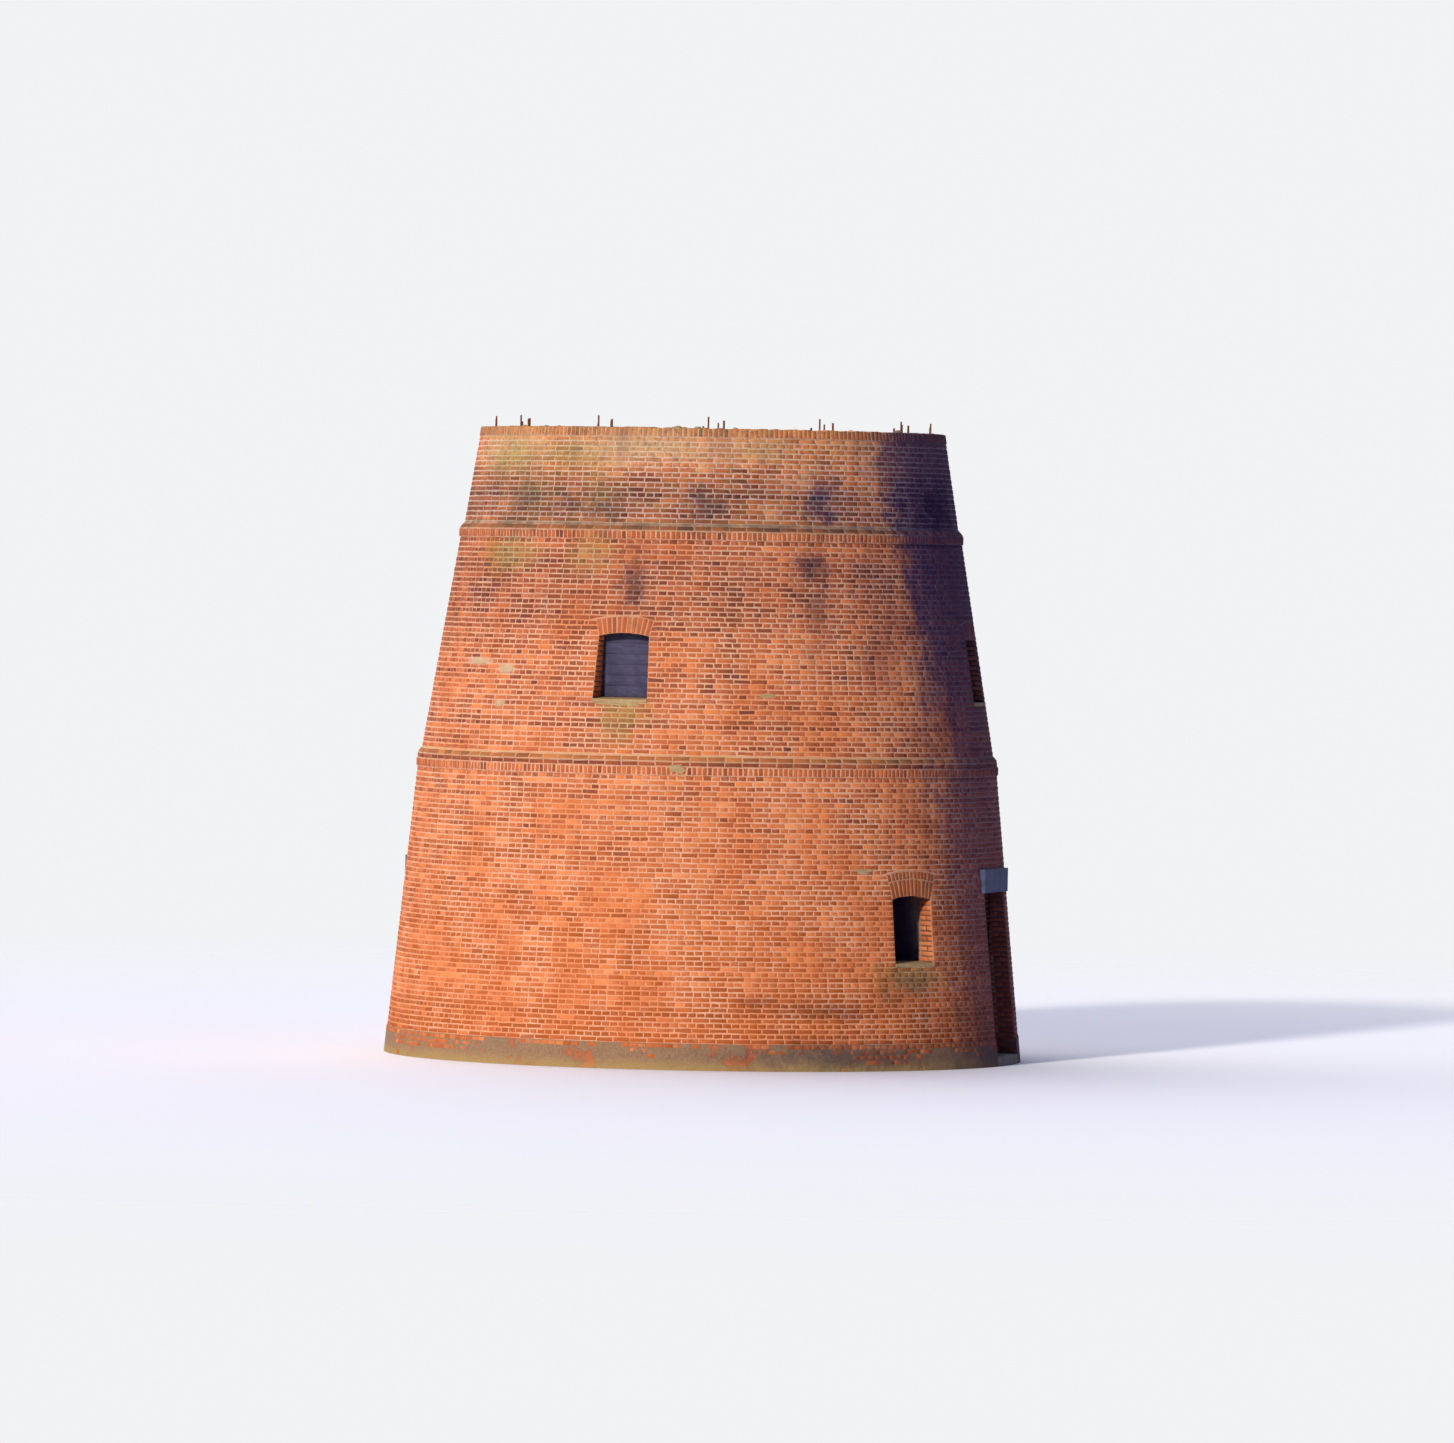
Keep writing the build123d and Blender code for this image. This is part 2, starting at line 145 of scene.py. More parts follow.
class MillColours(bpy.types.PropertyGroup):
    """Colours of the finishes, as linear values."""

    burnt_brick: colour("Burnt brick", (0.165, 0.050, 0.036), "Overburnt, purple bricks")
    dark_brick: colour("Dark brick", (0.260, 0.074, 0.032), "Dark red bricks")
    red_brick: colour("Red brick", (0.450, 0.120, 0.045), "Red bricks")
    foot_brick: colour("Low brick", (0.450, 0.105, 0.018), "Pure red bricks near the foot")
    orange_brick: colour("Orange brick", (0.670, 0.200, 0.062), "Bright orange bricks")
    salmon_brick: colour("Salmon brick", (0.780, 0.290, 0.110), "Soft pale bricks")
    mortar: colour("Mortar", (0.690, 0.350, 0.205), "Lime mortar, stained by the brick")
    pale_mortar: colour("Pale mortar", (0.700, 0.430, 0.300), "Washed mortar of the top storey")
    old_mortar: colour("Old mortar", (0.520, 0.270, 0.150), "Weathered mortar")
    plaster: colour("Plaster", (0.230, 0.190, 0.180), "Dirty plaster inside the walls")
    lime: colour("Lime", (0.680, 0.480, 0.310), "Repairs and lime bloom")
    repair: colour("Repair mortar", (0.385, 0.270, 0.125), "Grey-green mortar on sills and repairs")
    moss: colour("Moss", (0.400, 0.265, 0.085), "Moss and ochre lichen")
    grime: colour("Grime", (0.045, 0.034, 0.042), "Brown growth on the sunny side")
    # The blue in this colour is painted shade; the same colour paints the shade inside the openings
    soot_and_shade: colour("Black growth", (0.020, 0.015, 0.076), "Black growth on the damp side")
    render: colour("Render", (0.330, 0.205, 0.115), "Render on the foot of the wall")
    concrete: colour("Lintel", (0.115, 0.145, 0.215), "Grey lintel")
    stone: colour("Threshold", (0.260, 0.225, 0.185), "Worn doorstep")
    board: colour("Board", (0.072, 0.068, 0.130), "Grey window boards")
    timber: colour("Floor timber", (0.200, 0.140, 0.090), "Old floor timber")
    paving: colour("Paving", (0.230, 0.120, 0.075), "Paving bricks")
    rust: colour("Rust", (0.085, 0.030, 0.018), "Rusty iron")
    rust_bloom: colour("Rust bloom", (0.260, 0.090, 0.030), "Fresh rust")


class MillStage(bpy.types.PropertyGroup):
    """Floor, light and camera."""

    floor_radius: length("Floor radius", 60.0, "Radius of the floor")
    camera_distance: length("Camera distance", 160.0, "From the camera to the tower's axis")
    camera_height: length("Camera height", 7.58, "Camera above the ground")
    lens: FloatProperty(name="Lens", description="Focal length in mm", default=256.73, min=1.0)
    sun_strength: FloatProperty(name="Key light", description="Strength of the key light", default=3.3)
    sky_strength: FloatProperty(name="Fill light", description="Strength of the fill", default=0.25)
    back_strength: FloatProperty(name="Back light", description="Fill from behind", default=2.2)
    floor_colour: colour("Floor", (0.84, 0.85, 0.86), "Colour of the floor")


def sizes():
    """The brick sizes that the user set."""
    return bpy.context.scene.mill_bricks


def gaps():
    """The opening sizes that the user set."""
    return bpy.context.scene.mill_openings


def tint(name):
    """A colour that the user set, with full alpha."""
    return (*getattr(bpy.context.scene.mill_colours, name), 1.0)


# Directions and places on round faces


def outward(bearing):
    """Unit vectors that point out of the tower at bearings in radians."""
    bearing = np.asarray(bearing, float)
    return np.stack([np.sin(bearing), -np.cos(bearing), np.zeros_like(bearing)], -1)


def bearing_of(places):
    """Bearings of places or directions, in radians."""
    return np.arctan2(places[:, 0], -places[:, 1])


def sideways(bearing):
    """Unit vector to the right of someone who looks at the tower from that bearing."""
    return np.array([cos(bearing), sin(bearing), 0.0])


def radius_at(face, height):
    """Radius of a face at a height, carried on past its ends."""
    share = (np.asarray(height, float) - face.foot) / (face.top - face.foot)
    return face.foot_radius + (face.top_radius - face.foot_radius) * share


def on_face(face, bearing, height):
    """Points on a face."""
    out = outward(bearing) * radius_at(face, height)[..., None]
    out[..., 2] = height
    return out


def face_normal(face, bearing):
    """Unit normals of a leaning face, out of the masonry."""
    lean = atan((face.foot_radius - face.top_radius) / (face.top - face.foot))
    normal = outward(bearing) * cos(lean)
    normal[..., 2] = sin(lean)
    return normal * face.side


# Openings as each face of the wall sees them

# half widths at the foot and the springing; ring is how high the arch over it stands
Gap = namedtuple("Gap", "bearing half_foot half_spring sill spring rise ring below lintel seat")


def chord(radius, across):
    """Half length of a chord at a distance from the centre."""
    return np.sqrt(np.maximum(radius ** 2 - across ** 2, 0.0))


def arch_of(gap):
    """Radius, half angle and height of the centre of an opening's arch."""
    radius = (gap.half_spring ** 2 + gap.rise ** 2) / (2 * gap.rise)
    return radius, asin(gap.half_spring / radius), gap.spring + gap.rise - radius


def ring_corner(gap):
    """Half width and height of the upper corner of an arch, which is cut square to its curve."""
    radius, angle, centre = arch_of(gap)
    reach = radius + gap.ring
    return reach * sin(angle), centre + reach * cos(angle)


def crown(gap):
    """Highest point of what is laid over an opening."""
    if gap.rise == 0:
        return gap.spring + gap.lintel
    return gap.spring + gap.rise + gap.ring


def back_of_arch(gap, across):
    """Height of an arch's upper edge at a distance from its middle."""
    radius, _, centre = arch_of(gap)
    return centre + chord(radius + gap.ring, across)


def jamb_at(gap, height):
    """Half width between the jambs of an opening at a height."""
    slope = (gap.half_spring - gap.half_foot) / (gap.spring - gap.sill)
    return gap.half_foot + slope * (height - gap.sill)


def half_width(gap, low, high):
    """Half widths that a row of bricks between two heights keeps clear, at its bottom and its top."""
    if high <= gap.sill - gap.below + LEVEL_MARGIN or low >= crown(gap) - LEVEL_MARGIN:
        return None
    if high <= gap.spring:
        return [jamb_at(gap, max(z, gap.sill)) for z in (low, high)]
    if gap.rise == 0:
        return [gap.half_spring + gap.seat] * 2
    corner_x, corner_z = ring_corner(gap)
    if high > crown(gap) - LEVEL_MARGIN:
        return None
    if high > corner_z:
        return [corner_x] * 2
    skew = (corner_x - gap.half_spring) / (corner_z - gap.spring)
    return [gap.half_spring + skew * max(z - gap.spring, 0.0) for z in (low, high)]


def outer_gaps(storey):
    """Openings in a storey as its outer face shows them."""
    return [gap_at(storey, bearing, 0.0) for bearing in bearings_of(storey)]


def inner_gaps(storey):
    """Openings in a storey as its inner face shows them, wider by the rebate."""
    return [gap_at(storey, bearing, gaps().rebate) for bearing in bearings_of(storey)]


def bearings_of(storey):
    """Kinds and bearings of a storey's openings."""
    if storey == "lower":
        found = [("door", bearing) for bearing in DOOR_BEARINGS]
        return found + [("lower_window", bearing) for bearing in LOWER_WINDOW_BEARINGS]
    return [("upper_window", bearing) for bearing in UPPER_WINDOW_BEARINGS]


def gap_at(storey, kind_and_bearing, margin):
    """One opening, grown by a margin at its jambs and head."""
    kind, bearing = kind_and_bearing
    size = gaps()
    brick = sizes()
    if kind == "door":
        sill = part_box("door_thresholds")[1].z
        spring, top = (corner.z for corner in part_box("door_lintels"))
        half = size.door_width / 2 + margin
        lintel = top - spring - margin
        rise, ring = 0.0, 0.0
        half_foot, below, seat = half, 0.0, size.lintel_seat
    else:
        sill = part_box(f"{kind}_sills")[1].z
        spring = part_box(f"{kind}_arches")[0].z
        half = size.window_width / 2 + margin
        foot = size.upper_foot_width if kind == "upper_window" else size.window_width
        half_foot = foot / 2 + margin
        full_ring = brick.brick_length
        if kind == "lower_window" and margin == 0.0:
            full_ring += brick.brick_width + brick.joint
        rise, ring, lintel, seat = size.rise, full_ring, 0.0, 0.0
        below = 0.0 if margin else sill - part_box(f"{kind}_sills")[0].z
    return Gap(
        radians(bearing), half_foot, half, sill, spring + margin, rise, ring, below, lintel, seat
    )


def reveal_distance(storey_face, gap, margin=0.0):
    """Distance from the axis to the plane where an opening steps out behind its reveal."""
    head = gap.spring - margin + gap.rise
    return float(radius_at(storey_face, head)) - gaps().reveal


# Bricks as one mesh

# How deep a brick reaches into the masonry behind it
BURIED = 0.03

# corners: (n, 4, 3) from the lower left round to the upper left, seen from outside
Batch = namedtuple("Batch", "corners normals depth tone")

FRONT = [(0, 1, 2, 3)]
ARRISES = [(4 + i, 4 + (i + 1) % 4, (i + 1) % 4, i) for i in range(4)]
SIDES = [(8 + i, 8 + (i + 1) % 4, 4 + (i + 1) % 4, 4 + i) for i in range(4)]
BACK = [(11, 10, 9, 8)]
BRICK_QUADS = np.array(FRONT + ARRISES + SIDES + BACK)
CORNER_SIGNS = np.array([(1, 1), (-1, 1), (-1, -1), (1, -1)], float)


def batch_of(corners, normals, depth=BURIED, tone=0.0):
    """Bricks whose normals, depth and tone are given for each or for all."""
    count = len(corners)
    return Batch(corners, np.broadcast_to(normals, (count, 3)), np.full(count, depth), np.full(count, tone))


def unit(vectors):
    """Vectors scaled to length 1."""
    return vectors / np.linalg.norm(vectors, axis=-1, keepdims=True)


def brick_points(batch, rng, proud, arris):
    """Twelve points of each brick: its worn face, the outline behind it and its buried back."""
    stray = rng.normal(0.0, sizes().unevenness, batch.corners.shape)
    normal = batch.normals[:, None, :]
    stray -= normal * (stray * normal).sum(-1, keepdims=True) * IN_PLANE
    corners = batch.corners + stray
    count = len(corners)
    across = unit(corners[:, 1] - corners[:, 0] + corners[:, 2] - corners[:, 3])
    along = unit(corners[:, 3] - corners[:, 0] + corners[:, 2] - corners[:, 1])
    wear = arris * rng.uniform(*WEAR, (count, 4, 1))
    chipped = rng.random((count, 4, 1)) < CHIPPED_SHARE
    wear = np.where(chipped, wear * CHIP_FACTOR, wear)
    upright = np.linalg.norm(batch.corners[:, ::-1] - batch.corners, axis=-1, keepdims=True)
    wear = np.minimum(wear, upright * MOST_WORN)
    inward = CORNER_SIGNS[None, :, :1] * across[:, None] + CORNER_SIGNS[None, :, 1:] * along[:, None]
    stand = proud * rng.uniform(*STANDING, (count, 1, 1))
    front = corners + inward * wear + normal * stand
    outline = corners + normal * (stand - np.minimum(wear, arris * DEEPEST_ARRIS))
    back = corners - normal * np.reshape(batch.depth, (-1, 1, 1))
    return np.concatenate([front, outline, back], axis=1)


# Least and most wear and standing out, as shares of the sizes that the user set
WEAR = (0.8, 1.25)
STANDING = (0.7, 1.5)
DEEPEST_ARRIS = 1.5
CHIPPED_SHARE = 0.06
CHIP_FACTOR = 2.0
# No arris is wider than this share of a brick's height
MOST_WORN = 0.25
# Share of a corner's stray that is taken back across the face
IN_PLANE = 0.7


def lay(name, batches, material, proud=None, arris=None, variety=1.0):
    """Make one piece of all bricks in the batches, each with its own tone."""
    rng = np.random.default_rng(seed_of(name))
    batch = Batch(*(np.concatenate(parts) for parts in zip(*batches)))
    proud = sizes().proud if proud is None else proud
    arris = sizes().arris if arris is None else arris
    points = brick_points(batch, rng, proud, arris).reshape(-1, 3)
    count = len(batch.corners)
    quads = (BRICK_QUADS[None] + len(ON_FACE) * np.arange(count)[:, None, None]).reshape(-1, 4)
    mesh = quad_mesh(name, points, quads)
    spread = rng.normal(0.0, TONE_SPREAD, count) - DARKER * (rng.random(count) < DARK_SHARE)
    tone = np.clip(MIDDLE_TONE + batch.tone + spread * variety, 0.0, 1.0)
    shade = np.stack([tone, rng.random(count), rng.random(count), np.ones(count)], -1)
    shade = np.repeat(shade, len(ON_FACE), axis=0)
    shade[:, 3] = np.tile(ON_FACE, count)
    attribute = mesh.color_attributes.new("brick", "FLOAT_COLOR", "POINT")
    attribute.data.foreach_set("color", shade.ravel())
    return finished(name, mesh, material)


TONE_SPREAD = 0.09
MIDDLE_TONE = 0.51
DARK_SHARE = 0.06
DARKER = 0.20
# For each point of a brick, whether it is on the brick's face
ON_FACE = (1.0,) * 4 + (0.0,) * 8


def seed_of(name):
    """A seed that belongs to a piece's name, so that pieces don't change each other."""
    return [sizes().seed, *name.encode()]


def quad_mesh(name, points, quads):
    """A mesh of quads from arrays."""
    mesh = bpy.data.meshes.new(name)
    mesh.vertices.add(len(points))
    mesh.vertices.foreach_set("co", np.ascontiguousarray(points, np.float32).ravel())
    mesh.loops.add(quads.size)
    mesh.loops.foreach_set("vertex_index", quads.ravel().astype(np.int32))
    mesh.polygons.add(len(quads))
    mesh.polygons.foreach_set("loop_start", np.arange(0, quads.size, 4, dtype=np.int32))
    mesh.update(calc_edges=True)
    mesh.validate()
    return mesh


def placed(name, data):
    """Put a mesh, a light or a camera in the scene."""
    thing = bpy.data.objects.new(name, data)
    bpy.context.scene.collection.objects.link(thing)
    return thing


def finished(name, mesh, material):
    """Put a mesh in the scene as a piece that rides on the tower."""
    piece = placed(name, mesh)
    mesh.materials.append(material)
    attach(piece, "root")
    return piece


# Rows of bricks on a round face


def stretches(face, low, high, openings):
    """Free stretches of a row as (start at foot, start at top, end at foot, end at top)."""
    middle = float(radius_at(face, (low + high) / 2))
    cuts = []
    for gap in openings:
        halves = half_width(gap, low, high)
        if halves is not None:
            foot, top = (asin(half / middle) for half in halves)
            cuts.append((gap.bearing % FULL_TURN, foot, top))
    cuts.sort()
    found = []
    for index, (bearing, foot, top) in enumerate(cuts):
        after, next_foot, next_top = cuts[(index + 1) % len(cuts)]
        if index + 1 == len(cuts):
            after += FULL_TURN
        found.append((bearing + foot, bearing + top, after - next_foot, after - next_top))
    return found


def joints_between(span, header):
    """Joint positions along a free stretch of a row; header rows have a closer by each jamb."""
    brick = sizes()
    if not header:
        count = max(1, round(span / (brick.brick_length + brick.joint)))
        return np.linspace(0.0, span, count + 1)
    pitch = brick.brick_width + brick.joint
    closer = pitch / 2
    inside = span - 2 * (pitch + closer)
    if inside < pitch:
        return np.linspace(0.0, span, max(1, round(span / pitch)) + 1)
    middle = np.linspace(pitch + closer, span - pitch - closer, max(1, round(inside / pitch)) + 1)
    return np.concatenate([[0.0, pitch], middle, [span - pitch, span]])


def row(face, low, high, openings, pitch=None, header=False, anchor=0.0):
    """Corner bearings and heights of the bricks in one row, with half a joint over and under them."""
    brick = sizes()
    radius = float(radius_at(face, (low + high) / 2))
    half_joint = brick.joint * UPRIGHT_JOINT / 2 / radius
    free = stretches(face, low, high, openings)
    lefts, rights = [], []
    if free:
        for start_foot, start_top, end_foot, end_top in free:
            start, end = max(start_foot, start_top), min(end_foot, end_top)
            joints = start + joints_between((end - start) * radius, header) / radius
            left = np.stack([joints[:-1], joints[:-1]], -1) + half_joint
            right = np.stack([joints[1:], joints[1:]], -1) - half_joint
            left[0] = start_foot, start_top
            right[-1] = end_foot, end_top
            lefts.append(left)
            rights.append(right)
    else:
        pitch = pitch or (brick.brick_width if header else brick.brick_length) + brick.joint
        count = round(FULL_TURN * radius / pitch)
        joints = anchor + np.arange(count + 1) * FULL_TURN / count
        joints = joints + (HEADER_SHIFT if header else 0.0) * FULL_TURN / count
        lefts.append(np.stack([joints[:-1]] * 2, -1) + half_joint)
        rights.append(np.stack([joints[1:]] * 2, -1) - half_joint)
    left, right = np.concatenate(lefts), np.concatenate(rights)
    bearings = np.stack([left[:, 0], right[:, 0], right[:, 1], left[:, 1]], -1)
    heights = np.empty_like(bearings)
    heights[:, :2], heights[:, 2:] = low, high
    for gap in openings:
        if gap.rise and low < crown(gap) < high:
            lift_over_arch(face, gap, bearings, heights)
    kept = (heights[:, 2:] - heights[:, :2]).max(axis=1) > brick.joint * THINNEST
    heights[:, :2] += brick.joint / 2
    heights[:, 2:] -= brick.joint / 2
    return bearings[kept], heights[kept]


# Upright joints are this much narrower than level ones
UPRIGHT_JOINT = 0.8
# Rows of headers are moved on by this share of a header
HEADER_SHIFT = 0.25
# No brick is thinner than this many joints
THINNEST = 2


def lift_over_arch(face, gap, bearings, heights):
    """Cut the foot of a row's bricks to the upper edge of an arch under them, and their thin ends off."""
    joint = sizes().joint
    reach = arch_of(gap)[0] + gap.ring
    tops = heights[:, 2:].mean(axis=1)
    thin_at = tops - THINNEST * joint - (crown(gap) - reach)
    edge = np.arcsin(chord(reach, thin_at) / radius_at(face, tops))
    left, right = ((bearings[:, :2] - gap.bearing + pi) % FULL_TURN - pi).T
    left_is_thin = (np.abs(left) < edge) & (right > edge)
    right_is_thin = (np.abs(right) < edge) & (left < -edge)
    bearings[:, [0, 3]] += np.where(left_is_thin, edge - left, 0.0)[:, None]
    bearings[:, [1, 2]] -= np.where(right_is_thin, right + edge, 0.0)[:, None]
    away = (bearings[:, :2] - gap.bearing + pi) % FULL_TURN - pi
    across = np.sin(away) * radius_at(face, heights[:, :2])
    over = (np.abs(across) < ring_corner(gap)[0]) & (np.abs(away) < pi / 2)
    edge = back_of_arch(gap, across) + joint
    heights[:, :2] = np.where(over, np.maximum(heights[:, :2], edge), heights[:, :2])
    heights[:, :2] = np.minimum(heights[:, :2], heights[:, 2:])


def batch_from(face, bearings, heights, depth=BURIED, tone=0.0):
    """Bricks of a row as corners in space, in the order that faces out of the masonry."""
    corners = on_face(face, bearings, heights)
    if face.side < 0:
        corners = corners[:, [1, 0, 3, 2]]
    return batch_of(corners, face_normal(face, bearings.mean(axis=1)), depth, tone)


def courses(face, low, high):
    """Index, bottom and top of each course between two levels, on the lines of a face's own courses."""
    brick = sizes()
    count = max(1, round((face.top - face.foot) / (brick.brick_height + brick.joint)))
    pitch = (face.top - face.foot) / count
    first = floor((low - face.foot) / pitch + LEVEL_MARGIN)
    last = ceil((high - face.foot) / pitch - LEVEL_MARGIN)
    for index in range(first, last):
        bottom = max(low, face.foot + index * pitch)
        top = min(high, face.foot + (index + 1) * pitch)
        if top - bottom > THINNEST * brick.joint:
            yield index, bottom, top


def bonded_wall(face, openings, sector=None):
    """All bricks of a face in rows of headers and rows of stretchers in turn."""
    rng = np.random.default_rng(seed_of("courses"))
    batches = []
    for index, low, high in courses(face, face.foot, face.top):
        header = index % 2 == 1
        tone = rng.normal(-HEADER_DARKER if header else 0.0, COURSE_SPREAD)
        bearings, heights = row(face, low, high, openings, header=header, anchor=BOND_ANCHOR)
        if sector is not None:
            middle = bearings.mean(axis=1) % FULL_TURN
            kept = (middle >= sector[0]) & (middle < sector[1])
            bearings, heights = bearings[kept], heights[kept]
        batches.append(batch_from(face, bearings, heights, tone=tone))
    return batches


HEADER_DARKER = 0.05
COURSE_SPREAD = 0.05
BOND_ANCHOR = radians(-8)
QUARTERS = {name: (index * pi / 2, (index + 1) * pi / 2)
            for index, name in enumerate(("front_right", "back_right", "back_left", "front_left"))}


# Soft spots on the wall: bearing and half width in degrees, height and half height in metres
Spot = namedtuple("Spot", "bearing height wide tall strength")

BRIGHT_PATCHES = (
    Spot(36.5, 8.95, 5.0, 0.20, 0.50),
    Spot(39.0, 8.60, 2.6, 0.13, 0.40),
    Spot(21.6, 8.91, 3.0, 0.15, 0.50),
    Spot(2.0, 8.92, 14.0, 0.24, 0.12),
    Spot(21.3, 8.66, 1.6, 0.08, 0.30),
    Spot(14.2, 8.35, 2.8, 0.12, 0.46),
    Spot(9.4, 8.42, 2.8, 0.10, 0.26),
    Spot(-3.1, 9.02, 4.0, 0.12, 0.26),
    Spot(-21.8, 9.08, 4.5, 0.09, 0.36),
    Spot(-24.0, 8.90, 3.0, 0.08, 0.22),
    Spot(-41.4, 8.95, 3.0, 0.10, 0.24),
    Spot(-51.0, 9.40, 4.0, 0.07, 0.30),
    Spot(18.0, 6.20, 6.0, 0.40, 0.14),
    Spot(-24.0, 5.55, 3.0, 0.30, 0.16),
    Spot(-48.0, 5.30, 8.0, 0.25, 0.12),
    Spot(-52.0, 6.90, 3.0, 0.14, 0.20),
    Spot(-60.0, 7.15, 10.0, 0.40, -0.14),
    Spot(-30.0, 2.30, 14.0, 0.50, 0.08),
    Spot(17.0, 0.90, 14.0, 0.35, -0.22),
)

# Duller belts: height, half height, how sharply they end, and shift of tone
BELTS = ((7.1, 0.7, 2, -0.12), (8.6, 0.34, 4, -0.03))
# Shifts of tone at two heights, the lighter head and the redder foot
HEAD_SHIFT = ((9.0, 9.4), (0.0, 0.27))
FOOT_SHIFT = ((0.7, 1.1), (-0.16, 0.0))
# Painted light: the sunny side is brighter low down: shifts at two heights, and their shares at two bearings
SUNNY_HEIGHTS = ((0.0, 9.0), (0.10, -0.08))
SUNNY_BEARINGS = ((-40.0, 37.0), (1.0, 0.3))


def tone_of_place(batches):
    """Shift the tone of bricks by where they are: brighter low down on the sunny side as painted light,
    redder near the foot in front.
    """
    for batch in batches:
        middle = batch.corners.mean(axis=1)
        bearing = np.degrees(bearing_of(middle))
        height = middle[:, 2]
        sunny = np.interp(height, *SUNNY_HEIGHTS) * np.interp(bearing, *SUNNY_BEARINGS)
        batch.tone[:] += sunny + np.interp(height, *HEAD_SHIFT) + np.interp(height, *FOOT_SHIFT)
        for level, half, sharpness, shift in BELTS:
            batch.tone[:] += shift * np.exp(-np.abs((height - level) / half) ** sharpness)
        for spot in BRIGHT_PATCHES:
            near = ((bearing - spot.bearing) / spot.wide) ** 2 + ((height - spot.height) / spot.tall) ** 2
            batch.tone[:] += spot.strength * np.exp(-near)


# Arches, jambs and other laid shapes


def arch_ring(face, gap, inner_radius, thickness, depth):
    """Bricks on end round an arch, on the face of the wall."""
    brick = sizes()
    _, angle, centre = arch_of(gap)
    middle = inner_radius + thickness / 2
    pitch = brick.brick_height + brick.joint
    count = round(2 * angle * middle / pitch)
    edges = np.linspace(-angle, angle, count + 1)
    trim = brick.joint / 2 / middle
    left, right = edges[:-1] + trim, edges[1:] - trim
    turn = np.stack([left, right, right, left], -1)
    reach = np.empty_like(turn)
    reach[:, :2] = inner_radius - SOFFIT_DROP
    reach[:, 2:] = inner_radius + thickness - brick.joint / 2
    across = reach * np.sin(turn)
    height = centre + reach * np.cos(turn)
    return upright_batch(face, gap.bearing, across, height, depth)


def upright_batch(face, bearing, across, height, depth):
    """Bricks on a wall's face round an opening, whose sides run straight in."""
    distance = np.sqrt(radius_at(face, height) ** 2 - across ** 2)
    out = outward(bearing)
    corners = distance[..., None] * out + across[..., None] * sideways(bearing)
    corners[..., 2] = height
    if face.side < 0:
        corners = corners[:, [1, 0, 3, 2]]
    return batch_of(corners, out * face.side, depth)


SOFFIT_DROP = 0.003


def jamb_bricks(face, gap, side, start, end, half_at):
    """Bricks on one jamb, between two distances from the axis (start may follow the face)."""
    def point(distance, z):
        place = outward(gap.bearing) * distance + sideways(gap.bearing) * side * half_at(z)
        place[2] = z
        return place

    brick = sizes()
    corners = []
    for index, low, high in courses(face, gap.sill, gap.spring):
        low, high = low + brick.joint / 2, high - brick.joint / 2
        outer = start(low), start(high)
        span = sum(outer) / 2 - end
        marks = [0.0]
        step = brick.brick_length if index % 2 else brick.brick_width
        while span - marks[-1] > step + brick.brick_width / 2:
            marks.append(marks[-1] + step + brick.joint)
            step = brick.brick_length
        marks.append(span)
        for near, far in zip(marks, marks[1:]):
            left = [distance - (near or JAMB_START) for distance in outer]
            right = [end if far == span else distance - (far - brick.joint) for distance in outer]
            if side > 0:
                left, right = right, left
            ends = ((left[0], low), (right[0], low), (right[1], high), (left[1], high))
            corners.append([point(distance, z) for distance, z in ends])
    return batch_of(np.array(corners), -side * sideways(gap.bearing))


JAMB_START = 0.006


def both_jambs(face, inner_face, gap, inner_part):
    """Jamb bricks of an opening's outer reveal and, where it is bare, of its inner part."""
    def half_at(z):
        return jamb_at(gap, z)

    def at_face(z):
        return sqrt(float(radius_at(face, z)) ** 2 - half_at(z) ** 2)

    edge = reveal_distance(face, gap)
    wide = gap.half_spring + gaps().rebate
    back = sqrt(float(radius_at(inner_face, gap.sill)) ** 2 - wide ** 2)
    batches = []
    for side in (-1, 1):
        batches.append(jamb_bricks(face, gap, side, at_face, edge, half_at))
        if inner_part:
            batches.append(jamb_bricks(face, gap, side, lambda z: edge, back, lambda z: wide))
    return batches


# Materials

# Noises: how fine, how many octaves and how rough
NOISES = {
    "broad": (0.9, 4.0, 0.6),
    "patchy": (3.5, 5.0, 0.65),
    "grainy": (16.0, 4.0, 0.7),
    "speckle": (11.0, 4.0, 0.7),
    "streaks": (1.0, 4.0, 0.6),
    "bloom": (1.7, 6.0, 0.7),
    "brick_mottle": (38.0, 5.0, 0.65),
    "brick_blotch": (1.5, 4.0, 0.6),
    "brick_pits": (120.0, 4.0, 0.7),
    "mortar_sand": (70.0, 5.0, 0.7),
    "mortar_patches": (4.0, 5.0, 0.65),
    "mortar_stain": (1.1, 5.0, 0.65),
    "stone_patches": (6.0, 6.0, 0.65),
    "stone_pits": (60.0, 4.0, 0.7),
    "render_patches": (1.6, 6.0, 0.7),
    "render_sand": (50.0, 5.0, 0.7),
    "timber_grain": (9.0, 6.0, 0.7),
    "timber_stain": (3.0, 5.0, 0.6),
    "timber_fleck": (14.0, 4.0, 0.6),
    "rust_flakes": (60.0, 5.0, 0.7),
}

